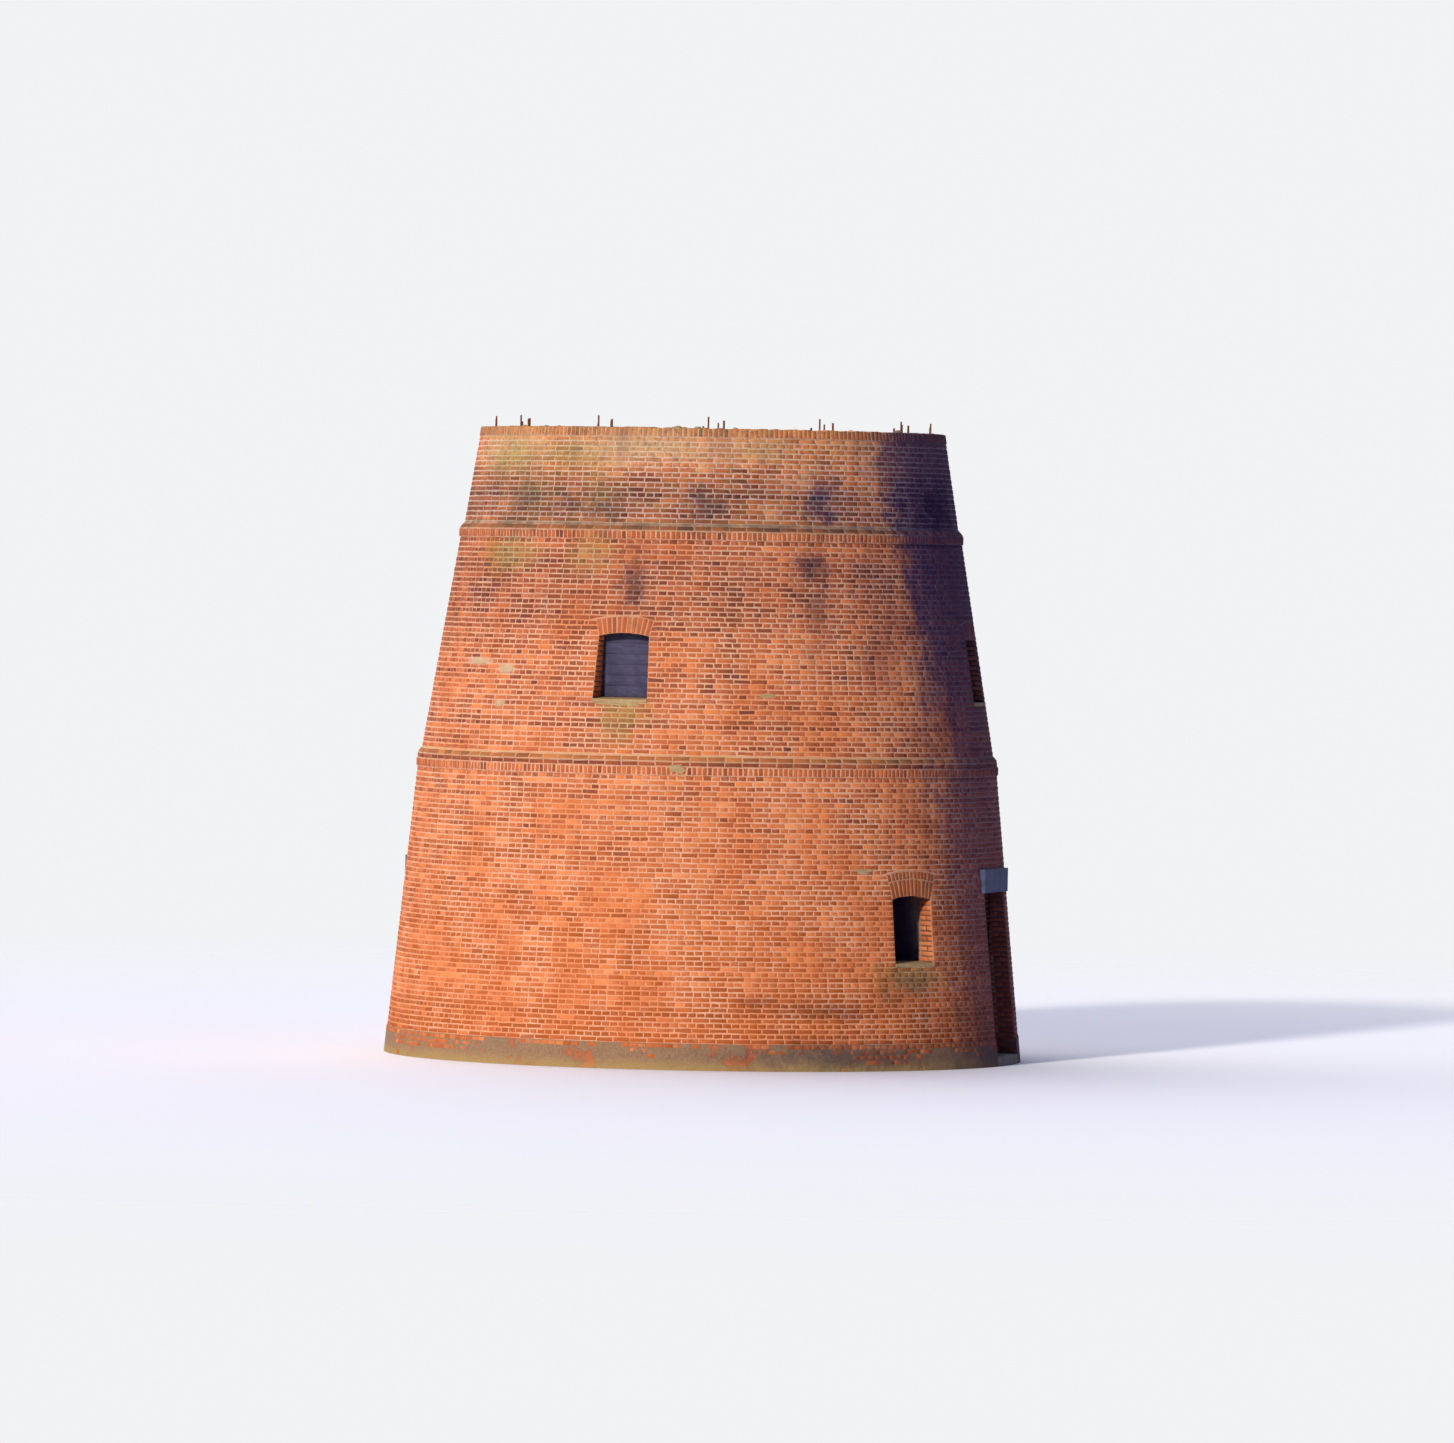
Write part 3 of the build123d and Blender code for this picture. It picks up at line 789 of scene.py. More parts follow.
# Smooth steps: where each starts and ends, and its values there where they aren't 0 and 1
MARKS = {
    "run_height": (RIM_TOP - 2.6, RIM_TOP - 0.4),
    "run": (0.52, 0.74, 0.0, 0.55),
    "film": (0.5, 0.8, 0.0, 0.35),
    "film_grain": (0.3, 0.7),
    "head_height": (7.92, 8.20),
    "black_speckle": (0.50, 0.60, 0.0, 0.50),
    "moss_speckle": (0.49, 0.59, 0.0, 0.55),
    "bloom": (0.60, 0.80, 0.0, 0.12),
    "bloom_grain": (0.35, 0.6),
    "cold_front": (5.0, 38.0),
    "cold_back": (125.0, 165.0, 1.0, 0.0),
    # The damp side: black growth and painted shade on the side turned from the light
    "damp_shade_front": (28.0, 53.0),
    "damp_shade_back": (125.0, 165.0, 1.0, 0.0),
    "damp_shade_height": (3.0, TOP_OUT.foot, 0.82, 1.0),
    "thick_growth": (0.5, 1.0, 0.05, 0.6),
    "deep_growth_and_shade": (1.0, 3.0),
    "low_brick_height": (1.5, 5.0, 0.6, 0.0),
    "low_brick_tone": (0.35, 0.65, 1.0, 0.0),
    "smear_mottle": (0.42, 0.62),
    "stain_height": (0.0, 4.0, 0.12, 0.0),
    "plaster": (0.35, 0.6),
    "stone_patches": (0.3, 0.7),
    "stone_pits": (0.5, 0.75, 0.0, 0.7),
    "render_sand": (0.3, 0.7),
    "fallen_render": (0.55, 0.60),
    "damp_foot": (0.08, 0.3, 0.65, 0.0),
    "timber_grain": (0.3, 0.7),
    "timber_tone": (0.3, 0.9, 0.0, 0.5),
    "timber_stain": (0.46, 0.62, 0.0, 0.7),
    "timber_fleck": (0.62, 0.70, 0.0, 0.7),
}


class Wire:
    """A value in a node tree; each sum with it adds a node."""

    def __init__(self, nodes, socket):
        self.nodes = nodes
        self.socket = socket

    def __add__(self, other):
        return self.nodes.math("ADD", self, other)

    def __sub__(self, other):
        return self.nodes.math("SUBTRACT", self, other)

    def __rsub__(self, other):
        return self.nodes.math("SUBTRACT", other, self)

    def __mul__(self, other):
        return self.nodes.math("MULTIPLY", self, other)

    def __truediv__(self, other):
        return self.nodes.math("DIVIDE", self, other)

    def most(self, other):
        """The greater of two values."""
        return self.nodes.math("MAXIMUM", self, other)

    def output(self, name):
        """Another output of the same node."""
        return Wire(self.nodes, self.socket.node.outputs[name])

    def step(self, marks):
        """A smooth step with marks as in MARKS, or with the name of such marks."""
        low, high, start, end = (*MARKS.get(marks, marks), 0.0, 1.0)[:4]
        inputs = {"Value": self, "From Min": low, "From Max": high, "To Min": start, "To Max": end}
        return self.nodes.add("ShaderNodeMapRange", inputs, interpolation_type="SMOOTHSTEP")


class Nodes:
    """Adds nodes to a tree; each input is a number, a colour or a wire."""

    def __init__(self, tree, material=None):
        self.tree = tree
        self.material = material

    def add(self, kind, inputs=None, output=0, **settings):
        """Add one node and give back one of its outputs."""
        node = self.tree.nodes.new(kind)
        for name, value in settings.items():
            setattr(node, name, value)
        for key, value in (inputs or {}).items():
            if isinstance(value, Wire):
                self.tree.links.new(value.socket, node.inputs[key])
            else:
                node.inputs[key].default_value = value
        return Wire(self, node.outputs[output])

    def end(self, kind, wire):
        """Join a wire to the tree's output."""
        self.tree.links.new(wire.socket, self.tree.nodes.new(kind).inputs["Surface"])

    def math(self, operation, first, second=0.0, clamp=False):
        """One sum."""
        return self.add("ShaderNodeMath", {0: first, 1: second}, operation=operation, use_clamp=clamp)

    def mix(self, share, first, second, blend="MIX"):
        """Two colours mixed."""
        inputs = {"Factor": share, 6: first, 7: second}
        return self.add("ShaderNodeMix", inputs, 2, data_type="RGBA", blend_type=blend)

    def tinted(self, shade, glaze, share=1.0):
        """A colour multiplied by another."""
        return self.mix(share, shade, glaze, "MULTIPLY")

    def noise(self, name, place):
        """One of the noises, from 0 to 1."""
        scale, detail, roughness = NOISES[name]
        inputs = {"Vector": place, "Scale": scale, "Detail": detail, "Roughness": roughness}
        return self.add("ShaderNodeTexNoise", inputs)

    def ramp(self, value, places, shades):
        """A colour ramp."""
        output = self.add("ShaderNodeValToRGB", {"Fac": value})
        elements = output.socket.node.color_ramp.elements
        elements[0].position, elements[0].color = places[0], shades[0]
        elements[1].position, elements[1].color = places[-1], shades[-1]
        for place, shade in zip(places[1:-1], shades[1:-1]):
            elements.new(place).color = shade
        return output

    def place(self):
        """The point on the tower that is shaded."""
        return self.add("ShaderNodeTexCoord", output="Object")

    def axes(self, place):
        """The three coordinates of a place."""
        x = self.add("ShaderNodeSeparateXYZ", {0: place})
        return x, x.output("Y"), x.output("Z")

    def of_brick(self):
        """A brick's tone, its two lots and whether a point is on its face."""
        own = self.add("ShaderNodeAttribute", attribute_name="brick")
        tone = self.add("ShaderNodeSeparateColor", {0: own})
        return tone, tone.output("Green"), tone.output("Blue"), own.output("Alpha")

    def scaled(self, place, scales):
        """A place with its axes scaled."""
        return self.add("ShaderNodeVectorMath", {0: place, 1: scales}, operation="MULTIPLY")

    def distance(self, place):
        """Distance of a place from the origin."""
        return self.add("ShaderNodeVectorMath", {0: place}, "Value", operation="LENGTH")


# Growth and lime on the visible side, and a few places behind
BLACK_SPOTS = (
    Spot(-62, 8.70, 7, 0.30, 0.65),
    Spot(-49, 8.50, 11, 0.46, 0.85),
    Spot(-37, 8.42, 10, 0.34, 0.80),
    Spot(-25, 8.42, 11, 0.38, 0.85),
    Spot(-13, 8.60, 8, 0.36, 0.60),
    Spot(-2, 8.46, 9, 0.42, 0.90),
    Spot(11, 8.42, 5, 0.26, 0.40),
    Spot(26, 8.52, 7.5, 0.52, 1.0),
    Spot(33, 8.62, 4, 0.30, 0.6),
    Spot(38, 6.20, 7, 0.50, 0.45),
    Spot(43, 8.88, 4, 0.24, 0.35),
    Spot(42, 8.30, 6, 0.40, 0.50),
    # The wide, strong spot at 66 degrees is black growth and painted shade at the head of the shaded side
    Spot(66, 8.50, 19, 0.62, 2.5),
    Spot(-17, 7.30, 4.5, 0.55, 0.85),
    Spot(-14, 7.78, 5, 0.20, 0.35),
    Spot(23, 7.55, 6, 0.46, 0.85),
    Spot(23.5, 6.95, 4, 0.60, 0.70),
    Spot(21.5, 6.35, 2.4, 0.30, 0.40),
    Spot(37, 7.45, 7, 0.55, 0.50),
    Spot(40.5, 1.30, 8, 0.26, 0.70),
    Spot(-139.5, 1.32, 8, 0.26, 0.65),
    Spot(9, 1.02, 4, 0.10, 0.55),
    Spot(23, 0.90, 9, 0.16, 0.60),
    Spot(38, 1.12, 5, 0.20, 0.50),
    Spot(-27, 5.50, 7, 0.10, 0.25),
    Spot(28, 0.22, 24, 0.26, 0.80),
    Spot(168, 8.40, 10, 0.40, 0.80),
    Spot(-164, 8.50, 9, 0.35, 0.70),
    Spot(-130, 8.50, 12, 0.40, 0.70),
    Spot(-162, 7.20, 3, 0.60, 0.60),
)
MOSS_SPOTS = (
    Spot(-56, 9.20, 15, 0.38, 1.00),
    Spot(-36, 9.20, 13, 0.32, 0.85),
    Spot(-47, 8.62, 10, 0.40, 0.70),
    Spot(-15, 9.35, 16, 0.22, 0.50),
    Spot(-27, 8.60, 5, 0.45, 0.75),
    Spot(12, 9.32, 12, 0.20, 0.65),
    Spot(33, 9.40, 10, 0.14, 0.45),
    Spot(-52, 7.68, 10, 0.26, 0.85),
    Spot(-28, 7.72, 5, 0.35, 0.65),
    Spot(-17.5, 5.30, 5.0, 0.24, 0.95),
    Spot(-18, 5.05, 3.5, 0.22, 0.60),
    Spot(161, 5.30, 5.0, 0.24, 0.90),
    Spot(78, 5.28, 5.0, 0.26, 0.80),
    Spot(-102, 5.30, 5.0, 0.24, 0.85),
    Spot(41, 1.38, 8.0, 0.24, 0.85),
    Spot(-139, 1.38, 8.0, 0.24, 0.75),
    Spot(125, 9.10, 20, 0.40, 0.60),
    Spot(-110, 9.10, 20, 0.40, 0.60),
)
LIME_SPOTS = (
    Spot(-60, 9.32, 22, 0.34, 0.35),
    Spot(-18, 9.34, 20, 0.30, 0.50),
    Spot(6, 9.36, 12, 0.26, 0.25),
    Spot(-56.5, 6.05, 4.2, 0.055, 1.2),
    Spot(-47, 5.95, 2.4, 0.07, 1.2),
    Spot(-47.5, 5.42, 1.4, 0.05, 0.9),
    Spot(140, 5.90, 4, 0.06, 1.0),
)

# Bands right round the tower: lowest and highest level, softness of the edges and strength
Band = namedtuple("Band", "low high soft strength")

BLACK_BANDS = (
    Band(TOP_OUT.foot - 0.05, TOP_OUT.foot + 0.72, 0.25, 0.60),
    Band(MIDDLE_OUT.top - 1.3, MIDDLE_OUT.top, 0.35, 0.26),
    Band(LOWER_OUT.top + 0.13, LOWER_OUT.top + 0.22, 0.02, 0.35),
    Band(MIDDLE_OUT.top + 0.13, TOP_OUT.foot + 0.03, 0.04, 0.80),
)
MOSS_BANDS = (
    Band(LOWER_OUT.top + 0.21, MIDDLE_OUT.foot, 0.03, 0.55),
    Band(MIDDLE_OUT.top + 0.13, TOP_OUT.foot + 0.04, 0.04, 0.62),
    Band(RIM_TOP - 0.10, RIM_TOP + 0.3, 0.06, 0.60),
)
BAND_PATCHES = (0.35, 0.6)

# How far patches and grain shift the edge of a spot, and their mean
RAGGED_PATCHES = 2.2
RAGGED_GRAIN = 1.2
RAGGED_MEAN = 1.7
LIME_RAGGED = 0.3
SPOT_REACH = 1.6
STREAK_STRETCH = (2.6, 2.6, 0.35)

# Degrees that the edge of the painted cold light, the blue tint of growth on the shaded side, moves round for
# each metre down
COLD_LEAN = 4.0

# The edge of the damp side, black growth and painted shade of the side turned from the light, strays by up to
# these degrees; it leans by the value below in degrees a metre, down to the drop after it
DAMP_SHADE_RAGGED = 22.0
DAMP_SHADE_LEAN = 1.6
DAMP_SHADE_DROP = 4.6


def weather_group():
    """Masks for black growth with painted shade, moss, lime and painted cold light, by where a point is on
    the tower.
    """
    group = bpy.data.node_groups.new("mill_weather", "ShaderNodeTree")
    nodes = Nodes(group)
    place = nodes.place()
    x, y, height = nodes.axes(place)
    bearing = nodes.math("ARCTAN2", x, y * -1.0) * degrees(1)
    patchy = nodes.noise("patchy", place)
    grainy = nodes.noise("grainy", place)
    streaks = nodes.noise("streaks", nodes.scaled(place, STREAK_STRETCH))
    ragged = patchy * RAGGED_PATCHES + grainy * RAGGED_GRAIN - RAGGED_MEAN
    head = height.step("head_height")
    blacks = [
        *spot_masks(bearing, height, ragged, BLACK_SPOTS),
        *band_masks(height, patchy, BLACK_BANDS),
        damp_and_shaded_side(bearing, height, patchy, streaks),
        height.step("run_height") * streaks.step("run"),
        nodes.noise("broad", place).step("film") * grainy.step("film_grain"),
        head * grainy.step("black_speckle"),
    ]
    mosses = [
        *spot_masks(bearing, height, ragged, MOSS_SPOTS),
        *band_masks(height, patchy, MOSS_BANDS),
        head * nodes.noise("speckle", place).step("moss_speckle"),
    ]
    limes = [
        *spot_masks(bearing, height, ragged * LIME_RAGGED, LIME_SPOTS),
        nodes.noise("bloom", place).step("bloom") * grainy.step("bloom_grain"),
    ]
    black, moss, lime = (reduce(Wire.most, masks) for masks in (blacks, mosses, limes))
    cold = (bearing - (RIM_TOP - height) * COLD_LEAN).step("cold_front") * bearing.step("cold_back")
    masks = {"Black": black, "Deep": black.step("deep_growth_and_shade"), "Moss": moss, "Lime": lime, "Cold": cold}
    for name in masks:
        group.interface.new_socket(name, in_out="OUTPUT", socket_type="NodeSocketFloat")
    out = group.nodes.new("NodeGroupOutput")
    for name, mask in masks.items():
        limited = nodes.math("MULTIPLY", mask, 1.0, clamp=True)
        group.links.new(limited.socket, out.inputs[name])


def band_masks(height, patchy, bands):
    """Patchy bands right round the tower."""
    for band in bands:
        rise = height.step((band.low - band.soft, band.low + band.soft))
        fall = height.step((band.high - band.soft, band.high + band.soft, 1.0, 0.0))
        yield rise * fall * patchy.step((*BAND_PATCHES, band.strength / 2, band.strength))


def spot_masks(bearing, height, ragged, spots):
    """Ragged soft spots."""
    for spot in spots:
        across = (bearing - spot.bearing) / spot.wide
        along = (height - spot.height) / spot.tall
        reach = height.nodes.math("SQRT", across * across + along * along) + ragged
        yield reach.step((0.0, SPOT_REACH, spot.strength, 0.0))


def damp_and_shaded_side(bearing, height, patchy, streaks):
    """Black growth on the side that stays damp, thickest near the top; it is also painted shade on the side
    turned from the light.
    """
    turned = bearing + (patchy + streaks - 1.0) * DAMP_SHADE_RAGGED
    drop = height.nodes.math("MINIMUM", RIM_TOP - height, DAMP_SHADE_DROP)
    front = (turned - drop * DAMP_SHADE_LEAN).step("damp_shade_front")
    return front * turned.step("damp_shade_back") * height.step("damp_shade_height")


# Roughness, depth of the relief in metres and gloss
Look = namedtuple("Look", "rough relief gloss")

BRICK_LOOK = Look(0.92, 0.004, 0.05)
MORTAR_LOOK = Look(0.95, 0.005, 0.05)
RENDER_LOOK = Look(0.95, 0.012, 0.05)
STONE_LOOK = Look(0.88, 0.004, 0.25)
TIMBER_LOOK = Look(0.80, 0.004, 0.25)
RUST_LOOK = Look(0.85, 0.003, 0.25)
RELIEF_STRENGTH = 0.8


def new_material(name):
    """The nodes of a new material."""
    material = bpy.data.materials.new(name)
    material.use_nodes = True
    material.node_tree.nodes.clear()
    return Nodes(material.node_tree, material)


def finish(nodes, shade, height, look):
    """Join a colour and a relief to a shader, and that to the surface of the material."""
    relief = {"Height": height, "Distance": look.relief, "Strength": RELIEF_STRENGTH}
    inputs = {
        "Base Color": shade,
        "Roughness": look.rough,
        "Specular IOR Level": look.gloss,
        "Normal": nodes.add("ShaderNodeBump", relief),
    }
    nodes.end("ShaderNodeOutputMaterial", nodes.add("ShaderNodeBsdfPrincipled", inputs))
    return nodes.material


def weathered(nodes, shade, amount=1.0):
    """Lay lime, moss and black growth over a colour; growth tints it and covers it in part, and on the side
    turned from the light it is also painted shade, blue as painted cold light.
    """
    black = nodes.add("ShaderNodeGroup", node_tree=bpy.data.node_groups["mill_weather"])
    cold = black.output("Cold")
    shade = nodes.mix(black.output("Lime") * (LIME_COVER * amount), shade, tint("lime"))
    mossy = nodes.mix(MOSS_COVER, nodes.tinted(shade, MOSS_TINT), tint("moss"))
    shade = nodes.mix(black.output("Moss") * amount, shade, mossy)
    # On the side turned from the light this tint and the growth colour are blue: painted cold light and
    # painted shade
    stained = nodes.tinted(shade, nodes.mix(cold, BROWN_TINT, GROWTH_AND_SHADE_TINT))
    growth = nodes.mix(cold, tint("grime"), tint("soot_and_shade"))
    grown = nodes.mix(black.step("thick_growth"), stained, growth)
    shade = nodes.mix(black * amount, shade, grown)
    return nodes.mix(black.output("Deep") * amount, shade, DEEP_SOOT_AND_SHADE)


LIME_COVER = 0.85
MOSS_COVER = 0.4
MOSS_TINT = (0.72, 0.98, 0.72, 1.0)
# Growth tints: the blue one, for the side turned from the light, is painted cold light; the deepest dark is
# black growth and painted shade together
GROWTH_AND_SHADE_TINT = (0.30, 0.37, 0.80, 1.0)
BROWN_TINT = (0.37, 0.42, 0.64, 1.0)
DEEP_SOOT_AND_SHADE = (0.009, 0.005, 0.036, 1.0)


def brick_material(name, weather=1.0, spread=0.8, smear=0.4, smeared_with="mortar", edge=0.85):
    """Fired brick: each brick has its own tone, mottled, worn, smeared and weathered."""
    nodes = new_material(name)
    place = nodes.place()
    tone, lot, _, on_face = nodes.of_brick()
    mottle = nodes.noise("brick_mottle", place)
    blotch = nodes.noise("brick_blotch", place)
    tone = tone + (mottle - NOISE_MEAN) * MOTTLE_SPREAD + (blotch - NOISE_MEAN) * spread
    shade = nodes.ramp(tone, BRICK_TONES, [tint(colour) for colour in BRICK_COLOURS])
    low = nodes.axes(place)[2].step("low_brick_height") * tone.step("low_brick_tone")
    shade = nodes.mix(low, shade, tint("foot_brick"))
    least = LEAST_SMEARED - smear / 2
    smeared = lot.step((least, 1.0, 0.0, smear)) * mottle.step("smear_mottle")
    worn = (mottle * WORN_MOTTLE - on_face).step((*WORN_EDGE, 0.0, edge))
    shade = nodes.mix(smeared.most(worn), shade, joint_shade(nodes, place, smeared_with)[0])
    pitted = nodes.noise("brick_pits", place) + mottle * MOTTLE_DEPTH
    return finish(nodes, weathered(nodes, shade, weather), pitted, BRICK_LOOK)


NOISE_MEAN = 0.5
MOTTLE_SPREAD = 0.36
MOTTLE_DEPTH = 1.2
BRICK_TONES = (0.02, 0.24, 0.46, 0.70, 0.96)
BRICK_COLOURS = ("burnt_brick", "dark_brick", "red_brick", "orange_brick", "salmon_brick")
LEAST_SMEARED = 0.8
WORN_MOTTLE = 1.4
WORN_EDGE = (-0.15, 0.45)
STAINED = 0.7


def joint_shade(nodes, place, fresh="mortar", old="old_mortar", stained=STAINED):
    """Colour of lime mortar, sandy, patchy and stained by the brick, and its relief."""
    sandy = nodes.noise("mortar_sand", place)
    patchy = nodes.noise("mortar_patches", place)
    share = sandy * SAND_SHARE + patchy * PATCH_SHARE
    shade = nodes.ramp(share, MORTAR_TONES, (tint(old), tint(fresh), tint("lime")))
    if stained:
        spread = nodes.noise("mortar_stain", place) + nodes.axes(place)[2].step("stain_height")
        shade = nodes.mix(spread.step((*STAIN_EDGE, 0.0, stained)), shade, tint("orange_brick"))
    return shade, sandy + patchy


SAND_SHARE = 0.5
PATCH_SHARE = 0.7
MORTAR_TONES = (0.38, 0.60, 0.9)
STAIN_EDGE = (0.44, 0.68)


def mortar_material(name, fresh, old, weather=1.0, stained=0.0):
    """Lime mortar and plaster, sandy and patchy."""
    nodes = new_material(name)
    shade, relief = joint_shade(nodes, nodes.place(), fresh, old, stained)
    return finish(nodes, weathered(nodes, shade, weather), relief, MORTAR_LOOK)


def core_material(name, outer, inner):
    """The masonry behind the bricks of a storey: mortar at its faces, darkened as painted shade on the
    reveals, and dirty plaster inside its openings, which turns black deeper in as painted shade.
    """
    nodes = new_material(name)
    place = nodes.place()
    mortar, relief = joint_shade(nodes, place)
    mortar = weathered(nodes, mortar)
    x, y, height = nodes.axes(place)
    radius = nodes.distance(nodes.add("ShaderNodeCombineXYZ", {0: x, 1: y}))
    slope = (outer.top_radius - outer.foot_radius) / (outer.top - outer.foot)
    depth = height * slope + (outer.foot_radius - slope * outer.foot) - radius
    reveal = gaps().reveal
    thick = outer.foot_radius - inner.foot_radius
    behind = depth.step((reveal - PLASTER_EDGE, reveal + PLASTER_EDGE))
    before = depth.step((thick - 2 * PLASTER_EDGE, thick - PLASTER_EDGE, 1.0, 0.0))
    # Painted shade: the mortar of the reveals, deeper in than the face, is darkened
    mortar = nodes.mix(depth.step((MORTAR_EDGE, PLASTER_EDGE)), mortar, nodes.tinted(mortar, REVEAL_PAINTED_SHADE))
    dirty = nodes.mix(PLASTER_DIRT, tint("plaster"), tint("soot_and_shade"))
    patches = nodes.noise("mortar_patches", place).step("plaster")
    plaster = nodes.mix(patches, dirty, tint("plaster"))
    # Painted shade: deeper inside the openings the plaster turns black, where the inside of the tower lies in
    # shade
    grime = depth.step((reveal, reveal + INNER_SHADE_REACH, 0.0, INNER_SHADE_COVER))
    plaster = nodes.mix(grime, plaster, tint("soot_and_shade"))
    return finish(nodes, nodes.mix(behind * before, mortar, plaster), relief, MORTAR_LOOK)


# Depths in from the face where the reveals start to darken as painted shade, and where the plaster begins
MORTAR_EDGE = 0.01
PLASTER_EDGE = 0.03
PLASTER_DIRT = 0.4
# Tint of the painted shade on the reveals, then how far in and how strongly the plaster darkens to black as
# painted shade
REVEAL_PAINTED_SHADE = (0.35, 0.33, 0.36, 1.0)
INNER_SHADE_REACH = 0.4
INNER_SHADE_COVER = 0.85


def stone_material(name, base, weather=0.6):
    """Stone or concrete: a mottled colour with pits, stains and worn lighter patches."""
    nodes = new_material(name)
    place = nodes.place()
    coarse = nodes.noise("stone_patches", place)
    fine = nodes.noise("stone_pits", place)
    shade = nodes.mix(coarse.step("stone_patches"), nodes.tinted(tint(base), DARK_STONE), tint(base))
    shade = nodes.mix(fine.step("stone_pits"), shade, nodes.tinted(tint(base), PALE_STONE))
    return finish(nodes, weathered(nodes, shade, weather), coarse + fine, STONE_LOOK)


PALE_STONE = (1.5, 1.45, 1.4, 1.0)
DARK_STONE = (0.55, 0.52, 0.5, 1.0)


def render_material():
    """Old render on the foot of the wall, fallen off in patches down to red brick."""
    nodes = new_material("old_render")
    place = nodes.place()
    patchy = nodes.noise("render_patches", place)
    sandy = nodes.noise("render_sand", place)
    bare = patchy.step("fallen_render")
    shade = nodes.mix(sandy.step("render_sand"), nodes.tinted(tint("render"), DULL_RENDER), tint("render"))
    shade = nodes.mix(bare * BARE_COVER, shade, tint("red_brick"))
    damp = (nodes.axes(place)[2] + patchy * DAMP_PATCHES).step("damp_foot")
    shade = nodes.mix(damp, shade, tint("moss"))
    return finish(nodes, weathered(nodes, shade), sandy * RENDER_GRAIN - bare, RENDER_LOOK)


DULL_RENDER = (0.6, 0.55, 0.55, 1.0)
BARE_COVER = 0.85
DAMP_PATCHES = 0.2
RENDER_GRAIN = 0.4


def timber_material(name, base, along, contrast=1.0):
    """Weathered timber with grain along one axis, stains and pale flecks."""
    nodes = new_material(name)
    place = nodes.place()
    tone, lot, other_lot, _ = nodes.of_brick()
    shift = nodes.add("ShaderNodeCombineXYZ", {0: lot * GRAIN_SHIFT, 2: other_lot})
    moved = nodes.add("ShaderNodeVectorMath", {0: place, 1: shift}, operation="ADD")
    grain = nodes.noise("timber_grain", nodes.scaled(moved, along))
    pale = nodes.tinted(tint(base), PALE_GRAIN, contrast)
    dark = nodes.tinted(tint(base), DARK_GRAIN, contrast)
    shade = nodes.mix(grain.step("timber_grain"), dark, tint(base))
    shade = nodes.mix(tone.step("timber_tone"), shade, pale)
    for kind, patch in (("timber_stain", dark), ("timber_fleck", pale)):
        shade = nodes.mix(nodes.noise(kind, place).step(kind), shade, patch)
    return finish(nodes, shade, grain, TIMBER_LOOK)


GRAIN_SHIFT = 9.0
PALE_GRAIN = (1.5, 1.5, 1.45, 1.0)
DARK_GRAIN = (0.45, 0.42, 0.42, 1.0)


def rust_material():
    """Rusty iron, flaked and pitted."""
    nodes = new_material("rusty_rods")
    flake = nodes.noise("rust_flakes", nodes.scaled(nodes.place(), RUST_STRETCH))
    return finish(nodes, nodes.ramp(flake, RUST_TONES, (tint("rust"), tint("rust_bloom"))), flake, RUST_LOOK)


RUST_STRETCH = (1.0, 1.0, 0.4)
RUST_TONES = (0.35, 0.72)


def assign(material, *starts):
    """Give a material to the solids whose names start in one of these ways."""
    for name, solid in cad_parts.items():
        if not name.startswith(starts):
            continue
        if not solid.material_slots:
            solid.data.materials.append(material)
        for slot in solid.material_slots:
            slot.material = material


# Operators, one for each piece or group of like pieces


class MillOperator:
    """What all the operators share."""

    bl_options = {"REGISTER", "UNDO"}


class MILL_OT_masonry(MillOperator, bpy.types.Operator):
    """Finish the mortar, render, stone, iron and joists that the frame holds"""

    bl_idname = "mill.masonry"
    bl_label = "Finish the masonry core"

    def execute(self, context):
        weather_group()
        lower = core_material("lower_core", LOWER_OUT, LOWER_IN)
        assign(lower, "lower_wall", "lower_window_heads", "lower_window_aprons", "doorway_heads")
        middle = core_material("middle_core", MIDDLE_OUT, MIDDLE_IN)
        assign(middle, "middle_wall", "upper_window_heads", "upper_window_aprons")
        for name, (starts, settings) in MORTARS.items():
            assign(mortar_material(name, **settings), *starts)
        assign(render_material(), "plinth")
        assign(stone_material("lintel_concrete", "concrete"), "door_lintels")
        assign(stone_material("doorstep_stone", "stone"), "door_thresholds")
        assign(rust_material(), "anchor_rods")
        assign(timber_material("joist_timber", "timber", JOIST_GRAIN), "floor_joists")
        for name, settings in BRICKS.items():
            brick_material(name, **settings)
        return {"FINISHED"}


# Mortars: the starts of the solids' names, and how each mortar differs from the common one
MORTARS = {
    "fillet_mortar": (
        ("lower_string", "upper_string", "rim_course", "lower_window_rear", "upper_window_rear"),
        {"fresh": "mortar", "old": "old_mortar", "stained": 0.4},
    ),
    "head_mortar": (("top_wall",), {"fresh": "pale_mortar", "old": "mortar", "weather": 0.85}),
    "arch_mortar": (
        ("lower_window_arches", "upper_window_arches"),
        {"fresh": "old_mortar", "old": "old_mortar", "weather": 0.8, "stained": STAINED},
    ),
    "repair_mortar": (
        ("lower_window_sills", "upper_window_sills"),
        {"fresh": "repair", "old": "old_mortar", "weather": 0.5},
    ),
    "paving_sand": (("ground_floor",), {"fresh": "old_mortar", "old": "paving", "weather": 0.0}),
}
# Bricks: how each kind differs from the common one
BRICKS = {
    "wall_bricks": {},
    "moulded_bricks": {"weather": 0.9, "spread": 0.6, "smear": 0.2, "edge": 0.7},
    "inner_bricks": {"weather": 0.45},
    "jamb_bricks": {"weather": 0.8, "spread": 0.6, "smear": 0.0, "smeared_with": "old_mortar", "edge": 0.25},
    "plinth_bricks": {"spread": 0.6, "smear": 1.0, "smeared_with": "render"},
    "paving_bricks": {"weather": 0.0},
}
# How much the grain is squeezed along each axis
JOIST_GRAIN = (0.3, 6, 6)
PANEL_GRAIN = (0.6, 0.6, 3)
FLOOR_GRAIN = (8, 0.4, 8)


